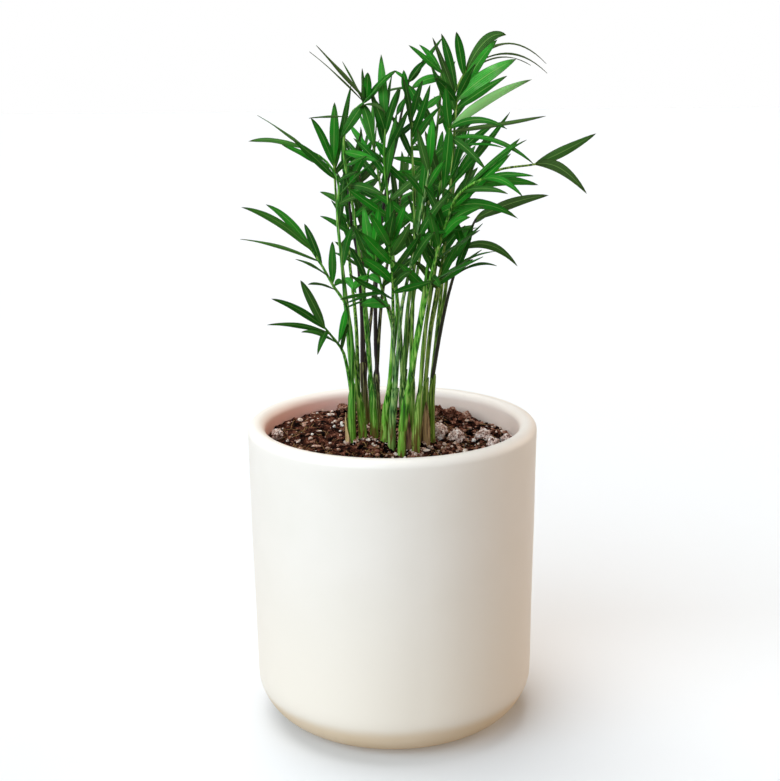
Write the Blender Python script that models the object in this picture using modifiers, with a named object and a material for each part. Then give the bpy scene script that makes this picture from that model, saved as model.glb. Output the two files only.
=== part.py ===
"""Potted parlor palm: a round ceramic pot, its soil with pumice, and thirteen young palms.

Sizes are in millimetres and are turned to metres where a mesh is made.
The origin is the centre of the pot's flat foot, +Z is up and -Y is the front.
"""

import math
import random
from collections import namedtuple

import bmesh
import bpy
from mathutils import Matrix, Vector
from mathutils.bvhtree import BVHTree

MM = 0.001
GAP = 0.3
WELD = 0.00001
SEED = 41

# The pot: a cylinder with a slight draft, a half-round lip and a rounded lower edge
POT_RADIUS_TOP = 82.5
POT_RADIUS_LOW = 80.5
POT_HEIGHT = 176.0
POT_WALL = 10.0
POT_FLOOR = 12.0
POT_ROUNDING = 27.0
POT_STEPS = 40
POT_SHARP_ANGLE = 35.0
INNER_ROUNDING = POT_ROUNDING - POT_WALL
INNER_WALL_LOW = POT_FLOOR + INNER_ROUNDING

# The soil: mounded in the middle, lower towards the wall and to the right
SOIL_EDGE_HEIGHT = 162.5
SOIL_MOUND = 4.5
SOIL_TILT_X = -0.035
SOIL_TILT_Y = 0.028
SOIL_LUMPS = 1.1
SOIL_RINGS = 7

# Each stem stands in a plain hole: its foot, the height it bends from, and the hole
STEM_FOOT = 140.0
STEM_UPRIGHT = 160.0
SOIL_SURFACE = 170.0
HOLE_DEPTH = 60.0
HOLE_SIDES = 8

# Stems, leaf stalks and ribs are tubes that get thinner towards the tip
STEM_RADIUS_TOP = 1.6
STALK_RADIUS = 1.25
RIB_TIP_RADIUS = 0.6
STALK_ROOT = 9.0
TUBE_SPACING = 15.0
STEM_ROUNDING = 1
STALK_ROUNDING = 0

# A leaflet is a lance-shaped blade with a flat upper face and a keel below
BLADE_STATIONS = ((0.0, 0.18), (0.33, 1.0), (0.7, 0.74))
ARCHED_STATIONS = ((0.0, 0.18), (0.2, 0.8), (0.4, 1.0), (0.6, 0.9), (0.8, 0.58))
ARCHED_BOW = 0.14
BLADE_KEEL = 0.9
KEEL_ABOVE = 0.35
KEEL_LEAST = 0.5
KEEL_AT_ROOT = 0.6
NEARLY_PARALLEL = 0.05

# Leaflets in pairs: degrees from the rib at its foot and tip, and how far each one varies
PAIR_START = 0.6
PAIR_SHIFT = 0.22
PAIR_ANGLE_FOOT = 52.0
PAIR_ANGLE_TIP = 16.0
PAIR_ANGLE_VARIES = 7.0
PAIR_ROLL_VARIES = 42.0
PAIR_LENGTH_VARIES = (0.9, 1.08)
PAIR_WIDTH_VARIES = (0.82, 1.15)
PAIR_DROOP_VARIES = (0.4, 1.6)

# A rib's middle leaflets are its longest: shortest share, swell, and the swell's start and span
PAIR_SHORTEST = 0.74
PAIR_SWELL = 0.3
SWELL_START = 0.15
SWELL_SPAN = 0.75
TIP_LIFT = 0.1
MIDDLE_LIFT = 0.14

# How far, in mm, a leaflet's tip may be moved, and how far it is shortened, to clear other palms
BLADE_CLEARANCE = 0.3
LEAFLET_TRIES = (
    (0, 0, 0), (0, 5, 0), (0, -5, 0), (0, 10, 0), (0, -10, 0),
    (0, 0, 6), (0, 0, -6), (6, 0, 0), (-6, 0, 0),
    (0, 16, 0), (0, -16, 0), (0, 0, 12), (0, 0, -12), (12, 0, 0), (-12, 0, 0),
)
LEAFLET_SHRINKS = (1.0, 0.85, 0.7)
MIDDLE_FOLLOWS = 0.4

FRONT = Vector((0, -1, 0.25))
UP = Vector((0, 0, 1))

Palm = namedtuple("Palm", "foot stem radius colour fronds")
Frond = namedtuple(
    "Frond", "leaves_at path rib pairs length width face droop reach",
    defaults=(0, 36, 5.5, (0, -0.6, 1), 0.12, ()),
)
# Reaching leaflets are set one by one: place along the rib, tip, width, bow and turn from the front
Reach = namedtuple("Reach", "place tip width bow turn", defaults=(0.08, 20))
Leaflet = namedtuple("Leaflet", "root control tip width up stations")

PALMS = {
    "palm_01": Palm((-23, -13), ((-22.5, -13, 188), (-22, -14, 206)), 2.8, "#3E8F22", (
        Frond(
            206, ((-22, -15, 228), (-25, -16, 246), (-31, -18, 256), (-38, -22, 270), (-43, -24, 278)),
            40,
            reach=(
                Reach(1.0, (-78, -40, 303), 4.4), Reach(0.97, (-67, -20, 302), 4.4),
                Reach(0.8, (-80, -32, 285), 3.4, 0.06, 55), Reach(0.72, (-47, -10, 290), 4.4),
                Reach(0.42, (-31, -30, 283), 4.6), Reach(0.55, (-50, -45, 276), 3.0, 0.06, 60),
                Reach(0.3, (-44, -42, 262), 3.0, 0.06, 60), Reach(0.08, (-4, -30, 257), 3.0, 0.04, 60),
                Reach(0.02, (-4, -26, 252), 2.8, 0.04, 65), Reach(0.0, (-29, -25, 226), 3.8, 0.04, 15),
            ),
        ),
        Frond(
            191, ((-24, -16, 206), (-26, -20, 218), (-28, -24, 224), (-36, -34, 237)), 30,
            reach=(
                Reach(1.0, (-48, -40, 264), 5.2), Reach(0.95, (-63, -50, 256), 4.2),
                Reach(0.8, (-65, -55, 243), 3.6, 0.05, 40), Reach(0.5, (-47, -60, 240), 3.2, 0.05, 50),
                Reach(0.9, (-39, -56, 227), 3.6), Reach(0.3, (-23, -14, 236), 3.0, 0.04, 50),
            ),
        ),
        Frond(
            200,
            (
                (-25, -10, 240), (-27, -8, 269), (-29, -6, 292), (-28, -4, 310), (-31, -3, 318),
                (-37, -2, 325), (-47, 0, 330),
            ),
            45,
            reach=(
                Reach(1.0, (-77, 0, 334), 4.4, 0.08, 45), Reach(0.93, (-73, 15, 347), 3.4, 0.03, 65),
                Reach(0.6, (-58, -12, 333), 4.8, 0.04, 35), Reach(0.45, (-52, -16, 336), 4.8, 0.05, 20),
                Reach(0.4, (-17, -10, 318), 3.6, 0.05, 40), Reach(0.22, (-3, -14, 326), 3.0, 0.07, 60),
                Reach(0.12, (-12, -18, 306), 3.4, 0.05, 30),
            ),
        ),
    )),
    "palm_02": Palm((-16.5, -9.5), ((-18, -9, 187), (-19.5, -8, 200)), 2.7, "#4F8A1E", (
        Frond(
            200, ((-23, -3, 229), (-28, 5, 273), (-30, 8, 301), (-31, 10, 321)), 66,
            reach=(
                Reach(1.0, (-30, 10, 354), 5.6), Reach(0.97, (-43, 5, 346), 4.6),
                Reach(0.93, (-21, 18, 363), 4.0, 0.04, 30), Reach(0.9, (-17, 20, 326), 3.6),
                Reach(0.62, (-7, 16, 312), 4.2, 0.05, 25), Reach(0.45, (-26, 34, 314), 4.0),
                Reach(0.3, (-6, 20, 287), 4.2, 0.05, 30), Reach(0.0, (-31, -14, 256), 4.2, 0.1),
                Reach(0.02, (-19, -16, 252), 4.0, 0.1), Reach(0.12, (-20, -18, 290), 4.4, 0.03, 20),
            ),
        ),
        Frond(
            194, ((-20, 6, 232), (-24, 28, 268), (-24, 46, 294), (-20, 58, 312)), 52, 5, 36, 4.4,
            (0.9, -0.3, 0.3),
        ),
    )),
    "palm_03": Palm((-15, 20), ((-16, 20, 188), (-17, 21, 205)), 2.1, "#3B2C20", (
        Frond(
            205, ((-17, 20, 235), (-19, 22, 267), (-22, 24, 284), (-24, 28, 306)), 48,
            reach=(
                Reach(0.75, (-40, 28, 303), 4.0), Reach(0.4, (-40, 22, 290), 3.4),
                Reach(0.05, (-33, 24, 269), 3.0, 0.05, 45), Reach(0.6, (-0, 24, 301), 4.4),
                Reach(0.3, (-1, 26, 288), 4.4), Reach(1.0, (-26, 42, 333), 4.4),
                Reach(0.95, (-9, 36, 332), 4.6), Reach(0.9, (-16, 52, 336), 4.0, 0.04, 40),
            ),
        ),
        Frond(198, ((-16, 28, 236), (-17, 40, 288), (-18, 58, 312)), 54, 5, 38, 4.4, (0.8, -0.5, 0.3)),
        Frond(190, ((-12, 28, 228), (-6, 46, 272), (2, 68, 288)), 52, 5, 36, 4.6, (0, -0.3, 1)),
    )),
    "palm_04": Palm((-10, -6), ((-11, -5, 190), (-12, -4, 205)), 2.7, "#3F8C20", (
        Frond(
            205, ((-14, 0, 238), (-20, 1, 293), (-25, -3, 329), (-21, -8, 348), (-12, -13, 356)), 62,
            reach=(
                Reach(1.0, (-38, -20, 385), 3.8, 0.02, 55), Reach(0.97, (-25, 0, 376), 2.8, 0.02, 65),
                Reach(0.95, (-14, -22, 373), 3.2, 0.02, 50), Reach(1.0, (-11, -28, 371), 4.6),
                Reach(0.97, (-41, -32, 382), 2.8, 0.03, 70), Reach(0.98, (4, -30, 372), 4.6, 0.09, 30),
                Reach(0.9, (-5, -38, 364), 3.0, 0.03, 50), Reach(0.95, (-26, -28, 337), 5.4, 0.02, 5),
                Reach(0.95, (-8, -34, 332), 5.2, 0.06, 15), Reach(0.78, (-43, -14, 347), 3.0, 0.04, 65),
                Reach(0.45, (-6, -28, 325), 4.4, 0.03, 20), Reach(0.33, (-12, -30, 328), 3.8, 0.03, 30),
                Reach(0.88, (-2, -40, 351), 3.4, 0.12, 45), Reach(0.15, (-3, -30, 307), 4.4, 0.06, 20),
            ),
        ),
        Frond(
            198, ((-15, -18, 249), (-13, -26, 259), (-12, -34, 267), (-10, -40, 274)), 26,
            reach=(
                Reach(1.0, (-14, -44, 304), 5.6, 0.03, 10), Reach(0.97, (-6, -50, 305), 5.4, 0.03, 15),
                Reach(0.8, (-20, -42, 294), 4.4, 0.03, 25), Reach(0.75, (-1, -54, 296), 4.6, 0.04, 20),
                Reach(0.5, (-20, -48, 259), 4.8, 0.08, 15), Reach(0.45, (-5, -56, 264), 4.0, 0.08, 20),
                Reach(0.3, (-22, -34, 281), 4.2, 0.03, 30),
            ),
        ),
    )),
    "palm_05": Palm((-4.5, -15.5), ((-3, -18, 188), (-1, -21, 204)), 2.8, "#4C9A25", (
        Frond(
            204, ((1, -25, 233), (1, -34, 251), (1, -42, 264), (-0, -48, 276), (-1, -54, 286)), 44, 4,
            32, 5.0, (0, -1, 0.5),
            reach=(
                Reach(1.0, (-0, -60, 310), 5.4, 0.03, 10), Reach(0.9, (8, -56, 306), 5.0, 0.03, 20),
                Reach(0.3, (11, -58, 271), 3.8, 0.06, 15),
            ),
        ),
        Frond(
            198,
            (
                (3, -20, 238), (3, -16, 254), (1, -16, 276), (-1, -17, 303), (-3, -18, 325),
                (-2, -18, 344),
            ),
            60, 3, 30, 4.2, (0, -1, 0.3),
            reach=(
                Reach(1.0, (-4, -16, 380), 5.2, 0.03, 10), Reach(0.97, (2, -8, 371), 3.0, 0.03, 55),
                Reach(0.9, (5, -26, 363), 4.4, 0.04, 30), Reach(0.8, (-9, -20, 361), 4.2, 0.03, 30),
                Reach(0.5, (4, -22, 350), 4.4, 0.03, 20),
            ),
        ),
        Frond(
            192, ((1, -22, 227), (-2, -28, 247), (-5, -32, 258), (-7, -38, 270), (-8, -44, 279)), 34, 3,
            32, 5.2, (0, -1, 0.4),
        ),
    )),
    "palm_06": Palm((-0.5, -24.5), ((0.5, -26, 186), (2, -29, 202)), 2.2, "#5A8A4A", (
        Frond(
            196, ((1, -33, 235), (-0, -39, 244), (-1, -45, 251)), 14,
            reach=(
                Reach(1.0, (-16, -56, 253), 5.6, 0.06, 5), Reach(0.6, (-10, -60, 259), 3.0, 0.04, 60),
            ),
        ),
        Frond(
            202,
            (
                (5, -35, 241), (7, -41, 256), (11, -47, 274), (14, -51, 289), (16, -55, 302),
                (18, -58, 312), (20, -60, 324),
            ),
            62,
            reach=(
                Reach(0.46, (65, -76, 299), 6.0, 0.17, 10), Reach(0.4, (44, -64, 295), 3.0, 0.03, 50),
                Reach(0.62, (19, -52, 331), 5.0, 0.03, 15), Reach(0.2, (7, -60, 295), 4.8, 0.03, 15),
                Reach(0.8, (28, -66, 329), 4.2, 0.04, 30), Reach(0.76, (6, -72, 324), 3.8, 0.05, 30),
                Reach(0.33, (31, -76, 314), 4.4, 0.04, 25), Reach(1.0, (22, -60, 350), 4.4),
                Reach(0.97, (14, -68, 345), 4.2, 0.04, 30), Reach(0.1, (23, -66, 293), 4.4, 0.04, 25),
            ),
        ),
    )),
    "palm_07": Palm((5, -31.5), ((7, -32.5, 190), (10, -35, 210)), 2.9, "#4F9A28", (
        Frond(
            210,
            (
                (13, -38, 230), (16, -41, 247), (20, -43, 274), (24, -43, 301), (28, -43, 324),
                (31, -43, 343),
            ),
            56,
            reach=(
                Reach(0.97, (82, -30, 348), 3.4, 0.005, 40), Reach(1.0, (60, -52, 343), 4.0, 0.13, 15),
                Reach(0.9, (73, -64, 326), 3.6, 0.12, 35), Reach(0.93, (49, -62, 323), 4.0, 0.06, 15),
                Reach(1.0, (74, -34, 367), 5.0, 0.03, 10), Reach(0.8, (58, -58, 334), 2.8, 0.08, 60),
                Reach(1.0, (27, -64, 311), 5.4, 0.07, 10), Reach(1.0, (29, -46, 365), 4.8, 0.03, 15),
                Reach(0.35, (40, -50, 332), 2.6, 0.02, 70), Reach(0.3, (45, -52, 329), 2.6, 0.02, 70),
                Reach(0.5, (18, -56, 343), 4.2, 0.03, 25), Reach(0.2, (16, -58, 329), 4.2, 0.03, 30),
            ),
        ),
        Frond(
            203,
            (
                (14, -38, 228), (18, -43, 251), (23, -50, 275), (29, -58, 297), (33, -64, 309),
                (39, -70, 316), (46, -74, 320),
            ),
            56,
            reach=(
                Reach(1.0, (71, -80, 322), 3.6, 0.05, 25), Reach(0.85, (75, -66, 316), 5.0, 0.05, 10),
                Reach(1.0, (65, -92, 313), 3.4, 0.16, 15), Reach(0.75, (58, -86, 314), 3.6, 0.06),
                Reach(0.5, (66, -60, 339), 5.8, 0.03, 10), Reach(0.56, (60, -78, 333), 4.6, 0.03, 20),
                Reach(0.35, (46, -88, 308), 4.2, 0.06, 20), Reach(0.3, (17, -74, 317), 4.2, 0.05, 25),
                Reach(0.12, (20, -76, 304), 4.2, 0.04, 25), Reach(0.66, (67, -84, 340), 3.4, 0.05, 50),
                Reach(0.2, (39, -80, 304), 4.4, 0.05, 20),
            ),
        ),
    )),
    "palm_08": Palm((9.5, -22.5), ((10.5, -22, 190), (11, -21, 206)), 2.8, "#5B8F2B", (
        Frond(
            206,
            (
                (11, -20, 221), (12, -17, 248), (13, -13, 281), (13, -10, 308), (12, -8, 332),
                (12, -7, 345),
            ),
            62, 4, 34, 4.2, (0, -1, 0.2),
            reach=(
                Reach(0.0, (21, -20, 335), 4.4, 0.02, 15), Reach(0.85, (22, -12, 364), 4.4, 0.03, 20),
            ),
        ),
        Frond(
            199, ((15, -29, 234), (19, -36, 256), (23, -44, 273), (26, -50, 284)), 36, 3, 32, 4.4,
            (0.3, -1, 0.4),
            reach=(
                Reach(1.0, (33, -58, 305), 4.6, 0.03, 20), Reach(0.9, (19, -60, 306), 4.6, 0.03, 20),
                Reach(0.4, (26, -56, 261), 4.4, 0.08, 20),
            ),
        ),
    )),
    "palm_09": Palm((13, -29.6), ((14, -29, 188), (16, -28, 205)), 2.6, "#6F9A3A", (
        Frond(
            205, ((18, -28, 230), (23, -26, 261), (31, -20, 295), (54, -9, 316), (80, 2, 320)), 62,
            reach=(
                Reach(1.0, (114, 8, 336), 5.6, -0.03, 10), Reach(1.0, (108, -4, 304), 5.8, 0.2, 15),
                Reach(0.2, (53, 2, 335), 3.4), Reach(0.15, (22, -8, 312), 4.2, 0.05, 20),
            ),
        ),
        Frond(
            198, ((18, -27, 225), (20, -24, 244), (23, -20, 263), (25, -14, 278)), 34, 3, 32, 4.4,
            (0.2, -1, 0.4),
            reach=(
                Reach(1.0, (30, -10, 302), 4.6, 0.03, 20), Reach(0.9, (19, -12, 299), 4.6, 0.03, 20),
            ),
        ),
    )),
    "palm_10": Palm((18, -16), ((18, -16, 188), (19, -16, 204)), 2.5, "#56801F", (
        Frond(
            204,
            (
                (22, -16, 232), (26, -15, 253), (31, -13, 292), (34, -12, 324), (35, -13, 343),
                (36, -14, 356),
            ),
            62, 2, 32, 4.4, (0, -1, 0.3),
            reach=(
                Reach(1.0, (67, -20, 377), 7.8, 0.05, 5), Reach(0.98, (58, -6, 387), 5.8, 0.04, 10),
                Reach(0.92, (61, -36, 369), 4.8, 0.04, 20), Reach(0.97, (24, -28, 368), 5.0, 0.04, 15),
                Reach(0.3, (42, -30, 347), 4.0, 0.03, 30), Reach(0.26, (65, -8, 349), 4.0, 0.01, 25),
            ),
        ),
        Frond(
            197, ((21, -19, 229), (24, -26, 251), (27, -34, 270), (29, -40, 284)), 36, 3, 32, 4.4,
            (0.4, -0.9, 0.4),
            reach=(
                Reach(1.0, (32, -46, 309), 4.6, 0.03, 20), Reach(0.3, (36, -44, 285), 4.4, 0.04, 20),
            ),
        ),
    )),
    "palm_11": Palm((22, -9.5), ((22, -9, 188), (23, -8, 204)), 2.5, "#56801F", (
        Frond(
            204,
            ((26, -5, 228), (31, -2, 256), (34, 6, 311), (34, 13, 348), (38, 16, 362), (45, 18, 374)),
            50,
            reach=(
                Reach(1.0, (88, 30, 373), 3.6, 0.25, 60), Reach(0.9, (88, 24, 368), 2.8, 0.22, 65),
                Reach(0.8, (80, 36, 372), 2.8, 0.18, 65), Reach(0.9, (64, 10, 389), 6.4, 0.22, 10),
                Reach(0.85, (37, 14, 391), 5.2), Reach(0.65, (29, 20, 390), 5.2, 0.08),
                Reach(0.6, (24, 14, 388), 3.8, 0.03), Reach(0.4, (23, 18, 373), 4.2, 0.08, 30),
                Reach(0.3, (52, 24, 363), 4.2), Reach(0.1, (25, 24, 356), 4.2),
                Reach(0.1, (47, 16, 343), 4.0),
            ),
        ),
        Frond(197, ((27, 2, 238), (33, 14, 284), (38, 26, 318)), 54, 5, 34, 4.4, (0.8, -0.4, 0.2)),
        Frond(
            201,
            (
                (27, -10, 227), (31, -14, 248), (35, -18, 264), (38, -21, 274), (40, -23, 280),
                (43, -25, 288), (46, -26, 294),
            ),
            46,
            reach=(
                Reach(0.6, (69, -20, 267), 4.8, 0.18), Reach(0.36, (57, -34, 275), 2.8, 0.07, 55),
                Reach(0.22, (57, -30, 269), 2.8, 0.15, 55), Reach(0.6, (60, -8, 276), 2.8, 0.04, 55),
                Reach(1.0, (83, -42, 308), 5.6, 0.04, 10), Reach(0.85, (27, -52, 264), 5.2, 0.04, 10),
                Reach(0.95, (58, -6, 297), 4.0, 0.05, 20), Reach(0.6, (32, -44, 299), 4.4, 0.03, 20),
                Reach(0.3, (44, -34, 293), 4.2, 0.03, 20),
            ),
        ),
    )),
    "palm_12": Palm((-8, 13), ((-9, 14, 188), (-8.5, 16, 205)), 2.1, "#3A3A20", (
        Frond(
            205,
            (
                (-9, 17, 213), (-9, 19, 236), (-8, 21, 259), (-5, 22, 287), (0, 24, 315), (6, 25, 343),
                (11, 26, 364),
            ),
            62, 2, 18, 4.2, (0, -1, 0.2),
            reach=(
                Reach(1.0, (30, 26, 388), 3.6, 0.04, 45), Reach(1.0, (3, 34, 370), 3.2, 0.04, 45),
                Reach(0.97, (23, 16, 340), 5.4, 0.04, 10), Reach(0.95, (-3, 30, 358), 3.0, 0.05, 55),
                Reach(0.85, (4, 18, 346), 4.0, 0.03, 30),
            ),
        ),
        Frond(197, ((-5, 22, 244), (3, 34, 284), (8, 54, 306)), 52, 5, 34, 4.4, (0.7, -0.5, 0.3)),
    )),
    "palm_13": Palm((7, -3), ((6, -2, 188), (7, 1, 205)), 2.4, "#4A7A2A", (
        Frond(
            205,
            (
                (8, 2, 222), (10, 4, 244), (15, 6, 272), (21, 8, 300), (24, 8, 322), (26, 10, 337),
                (28, 14, 354), (29, 18, 369),
            ),
            84,
            reach=(
                Reach(1.0, (11, 16, 384), 4.2, 0.06, 30), Reach(1.0, (17, 28, 384), 4.0, 0.07, 30),
                Reach(0.97, (12, 6, 361), 5.4, 0.06, 10), Reach(0.95, (37, 10, 375), 4.6, 0.02, 20),
                Reach(0.9, (37, 6, 358), 4.8, 0.05), Reach(0.85, (19, 2, 350), 4.4, 0.03),
                Reach(0.4, (1, -6, 325), 4.8, 0.03, 15), Reach(0.3, (1, -8, 317), 4.8, 0.03, 15),
                Reach(0.5, (8, 0, 329), 3.8, 0.05, 25), Reach(0.66, (34, 2, 349), 3.8),
                Reach(0.6, (16, 6, 356), 4.2), Reach(0.2, (33, 0, 316), 4.4, 0.03, 25),
                Reach(0.1, (10, -6, 304), 4.6, 0.03, 20),
            ),
        ),
        Frond(199, ((12, 8, 240), (20, 26, 284), (27, 42, 314)), 52, 5, 34, 4.4, (0.7, -0.5, 0.3)),
        Frond(193, ((4, 8, 240), (-4, 32, 296), (-10, 52, 330)), 56, 5, 36, 4.6, (-0.7, -0.6, 0.3)),
    )),
}

# Dry leaf bases: the palm each one wraps, its top, the way it opens, and its colour
SHEATHS = {
    "dry_sheath_01": ("palm_01", 180.0, 200, "#B08A4E"),
    "dry_sheath_08": ("palm_08", 182.0, 250, "#7A3A1E"),
    "dry_sheath_10": ("palm_10", 188.0, 290, "#8C6A3A"),
}
SHEATH_THICKNESS = 0.6
SHEATH_SPACE = 0.35
SHEATH_ROOM = 0.4
SHEATH_FOOT = 150.0
SHEATH_ARC = 210
SHEATH_DIVISIONS = 4
SHEATH_NARROWING = 0.86
SHEATH_FLARE = 0.5

# Pumice stones half sunk in the soil: centre across and along, size, and colour
PUMICE = {
    "pumice_01": (26.0, 1.0, 5.2, "#C9B8B4"),
    "pumice_02": (37.0, -4.0, 4.0, "#D3C7C2"),
    "pumice_03": (52.0, 1.0, 4.4, "#A79E99"),
    "pumice_04": (57.5, -9.0, 3.4, "#DAD3CE"),
    "pumice_05": (66.0, 3.0, 3.2, "#B3A8A2"),
    "pumice_06": (-66.0, 2.0, 3.0, "#CFC6C0"),
}
PUMICE_VARIES = (0.86, 1.1)
PUMICE_FLATNESS = 0.78
PUMICE_LIFT = 0.2
PUMICE_DENT_GAP = GAP * 1.3


def linear_colour(text):
    """Turn an sRGB hex colour such as #3E8F22 into Blender's linear RGBA."""
    values = []
    for start in (1, 3, 5):
        channel = int(text[start:start + 2], 16) / 255
        values.append(channel / 12.92 if channel <= 0.04045 else ((channel + 0.055) / 1.055) ** 2.4)
    return (*values, 1.0)


def clear_scene():
    for old in list(bpy.data.objects):
        bpy.data.objects.remove(old, do_unlink=True)


def new_collection(name):
    collection = bpy.data.collections.new(name)
    bpy.context.scene.collection.children.link(collection)
    return collection


def set_material(piece, colour, roughness):
    material = bpy.data.materials.new(piece.name)
    material.use_nodes = True
    shader = material.node_tree.nodes["Principled BSDF"]
    shader.inputs["Base Color"].default_value = linear_colour(colour)
    shader.inputs["Roughness"].default_value = roughness
    shader.inputs["Metallic"].default_value = 0.0
    piece.data.materials.clear()
    piece.data.materials.append(material)


def add_object(name, mesh, collection):
    piece = bpy.data.objects.new(name, mesh)
    collection.objects.link(piece)
    return piece


def evaluated_mesh(piece):
    """The piece's mesh with its modifiers applied, or a curve's mesh with its caps welded."""
    graph = bpy.context.evaluated_depsgraph_get()
    return bpy.data.meshes.new_from_object(piece.evaluated_get(graph))


def apply_modifiers(piece):
    mesh = evaluated_mesh(piece)
    piece.modifiers.clear()
    piece.data = mesh


def cut_with(piece, cutters):
    """Cut every object of the cutters' collection out of the piece."""
    cut = piece.modifiers.new("cut", "BOOLEAN")
    cut.operation = "DIFFERENCE"
    cut.operand_type = "COLLECTION"
    cut.collection = cutters
    cut.solver = "EXACT"


def turned(name, outline, steps, collection):
    """Turn an outline of (radius, height) points about the Z axis."""
    mesh = bpy.data.meshes.new(name)
    points = [(radius * MM, 0, height * MM) for radius, height in outline]
    mesh.from_pydata(points, [(i, i + 1) for i in range(len(points) - 1)], [])
    piece = add_object(name, mesh, collection)
    screw = piece.modifiers.new("turn", "SCREW")
    screw.steps = steps
    screw.render_steps = steps
    screw.use_merge_vertices = True
    screw.merge_threshold = WELD
    apply_modifiers(piece)
    return piece


def arc(centre_r, centre_z, radius, start, end, steps):
    """Points on an arc in the outline's plane, with angles in degrees from the radius axis."""
    points = []
    for step in range(steps + 1):
        angle = math.radians(start + (end - start) * step / steps)
        points.append((centre_r + radius * math.cos(angle), centre_z + radius * math.sin(angle)))
    return points


def inside_radius(height):
    """Radius of the pot's inner wall at a height above the inner rounding."""
    share = (height - POT_ROUNDING) / (POT_HEIGHT - POT_ROUNDING)
    return POT_RADIUS_LOW + (POT_RADIUS_TOP - POT_RADIUS_LOW) * share - POT_WALL


def build_pot(collection):
    """A cylinder with a flat foot, rounded low edges and a half-round lip."""
    lip = POT_WALL / 2
    floor_radius = inside_radius(INNER_WALL_LOW) - INNER_ROUNDING
    outline = [(0, POT_FLOOR)]
    outline += arc(floor_radius, INNER_WALL_LOW, INNER_ROUNDING, -90, 0, steps=3)
    outline += arc(POT_RADIUS_TOP - lip, POT_HEIGHT - lip, lip, 180, 0, steps=4)
    outline += arc(POT_RADIUS_LOW - POT_ROUNDING, POT_ROUNDING, POT_ROUNDING, 0, -90, steps=5)
    outline += [(0, 0)]
    pot = turned("pot", outline, POT_STEPS, collection)
    pot.data.shade_smooth()
    pot.data.set_sharp_from_angle(angle=math.radians(POT_SHARP_ANGLE))
    set_material(pot, "#F3EEE6", 0.42)
    return pot


def soil_height(x, y):
    """Height of the soil's smooth surface: a low mound on a slight slope."""
    edge = inside_radius(SOIL_EDGE_HEIGHT)
    mound = SOIL_MOUND * (1 - (x * x + y * y) / (edge * edge))
    return SOIL_EDGE_HEIGHT + mound + SOIL_TILT_X * x + SOIL_TILT_Y * y


def build_soil(collection):
    """A plug that fills the pot, with a lumpy top."""
    edge = inside_radius(SOIL_EDGE_HEIGHT) - GAP
    floor_radius = inside_radius(INNER_WALL_LOW) - INNER_ROUNDING
    outline = [(edge * ring / SOIL_RINGS, SOIL_EDGE_HEIGHT) for ring in range(SOIL_RINGS + 1)]
    outline += arc(floor_radius, INNER_WALL_LOW, INNER_ROUNDING - GAP, 0, -90, steps=3)
    outline += [(0, POT_FLOOR + GAP)]
    soil = turned("soil", outline, POT_STEPS, collection)
    draw = random.Random(SEED)
    for vertex in soil.data.vertices:
        x, y, z = vertex.co / MM
        if z > SOIL_EDGE_HEIGHT - 1:
            inner = math.hypot(x, y) < edge - 1
            lump = draw.uniform(-SOIL_LUMPS, SOIL_LUMPS) if inner else 0
            vertex.co.z = (soil_height(x, y) + lump) * MM
    set_material(soil, "#3A2018", 0.95)
    return soil


def add_hole(name, foot, radius, cutters):
    """A plain hole in the soil for a stem."""
    drill = bmesh.new()
    bmesh.ops.create_cone(
        drill, cap_ends=True, segments=HOLE_SIDES, depth=HOLE_DEPTH * MM,
        radius1=radius * MM, radius2=radius * MM,
    )
    mesh = bpy.data.meshes.new(name)
    drill.to_mesh(mesh)
    drill.free()
    hole = add_object(name, mesh, cutters)
    hole.location = (foot[0] * MM, foot[1] * MM, (STEM_FOOT - GAP + HOLE_DEPTH / 2) * MM)


def add_holes(cutters):
    """A hole for each stem, wider where a dry leaf base stands round it."""
    wrapped = {palm_name for palm_name, *_ in SHEATHS.values()}
    flat_to_corner = math.cos(math.pi / HOLE_SIDES)
    for name, palm in PALMS.items():
        radius = palm.radius + GAP
        if name in wrapped:
            radius += SHEATH_SPACE + SHEATH_THICKNESS + SHEATH_ROOM
        add_hole(name + "_hole", palm.foot, radius / flat_to_corner, cutters)


def pumice_mesh(name, size, grow):
    """A rough stone: a ball whose points are drawn in and out, and grown for its dent in the soil."""
    draw = random.Random(name)
    stone = bmesh.new()
    bmesh.ops.create_icosphere(stone, subdivisions=2, radius=1.0)
    for vertex in stone.verts:
        vertex.co *= size * draw.uniform(*PUMICE_VARIES) + grow
        vertex.co.z *= PUMICE_FLATNESS
    bmesh.ops.scale(stone, vec=(MM, MM, MM), verts=stone.verts)
    mesh = bpy.data.meshes.new(name)
    stone.to_mesh(mesh)
    stone.free()
    return mesh


def build_pumice(collection, cutters):
    for name, (x, y, size, colour) in PUMICE.items():
        place = Vector((x, y, soil_height(x, y) + size * PUMICE_LIFT)) * MM
        stone = add_object(name, pumice_mesh(name, size, 0), collection)
        stone.location = place
        set_material(stone, colour, 0.95)
        dent = add_object(name + "_dent", pumice_mesh(name, size, PUMICE_DENT_GAP), cutters)
        dent.location = place


def even_points(line, spacing):
    """Points about the given spacing apart along a finely divided line."""
    lengths = [0.0]
    for a, b in zip(line, line[1:]):
        lengths.append(lengths[-1] + (b - a).length)
    count = max(3, round(lengths[-1] / spacing))
    points = []
    span = 0
    for step in range(count + 1):
        target = lengths[-1] * step / count
        while span < len(line) - 2 and lengths[span + 1] < target:
            span += 1
        share = (target - lengths[span]) / (lengths[span + 1] - lengths[span])
        points.append(line[span].lerp(line[span + 1], min(1.0, share)))
    return points


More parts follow.
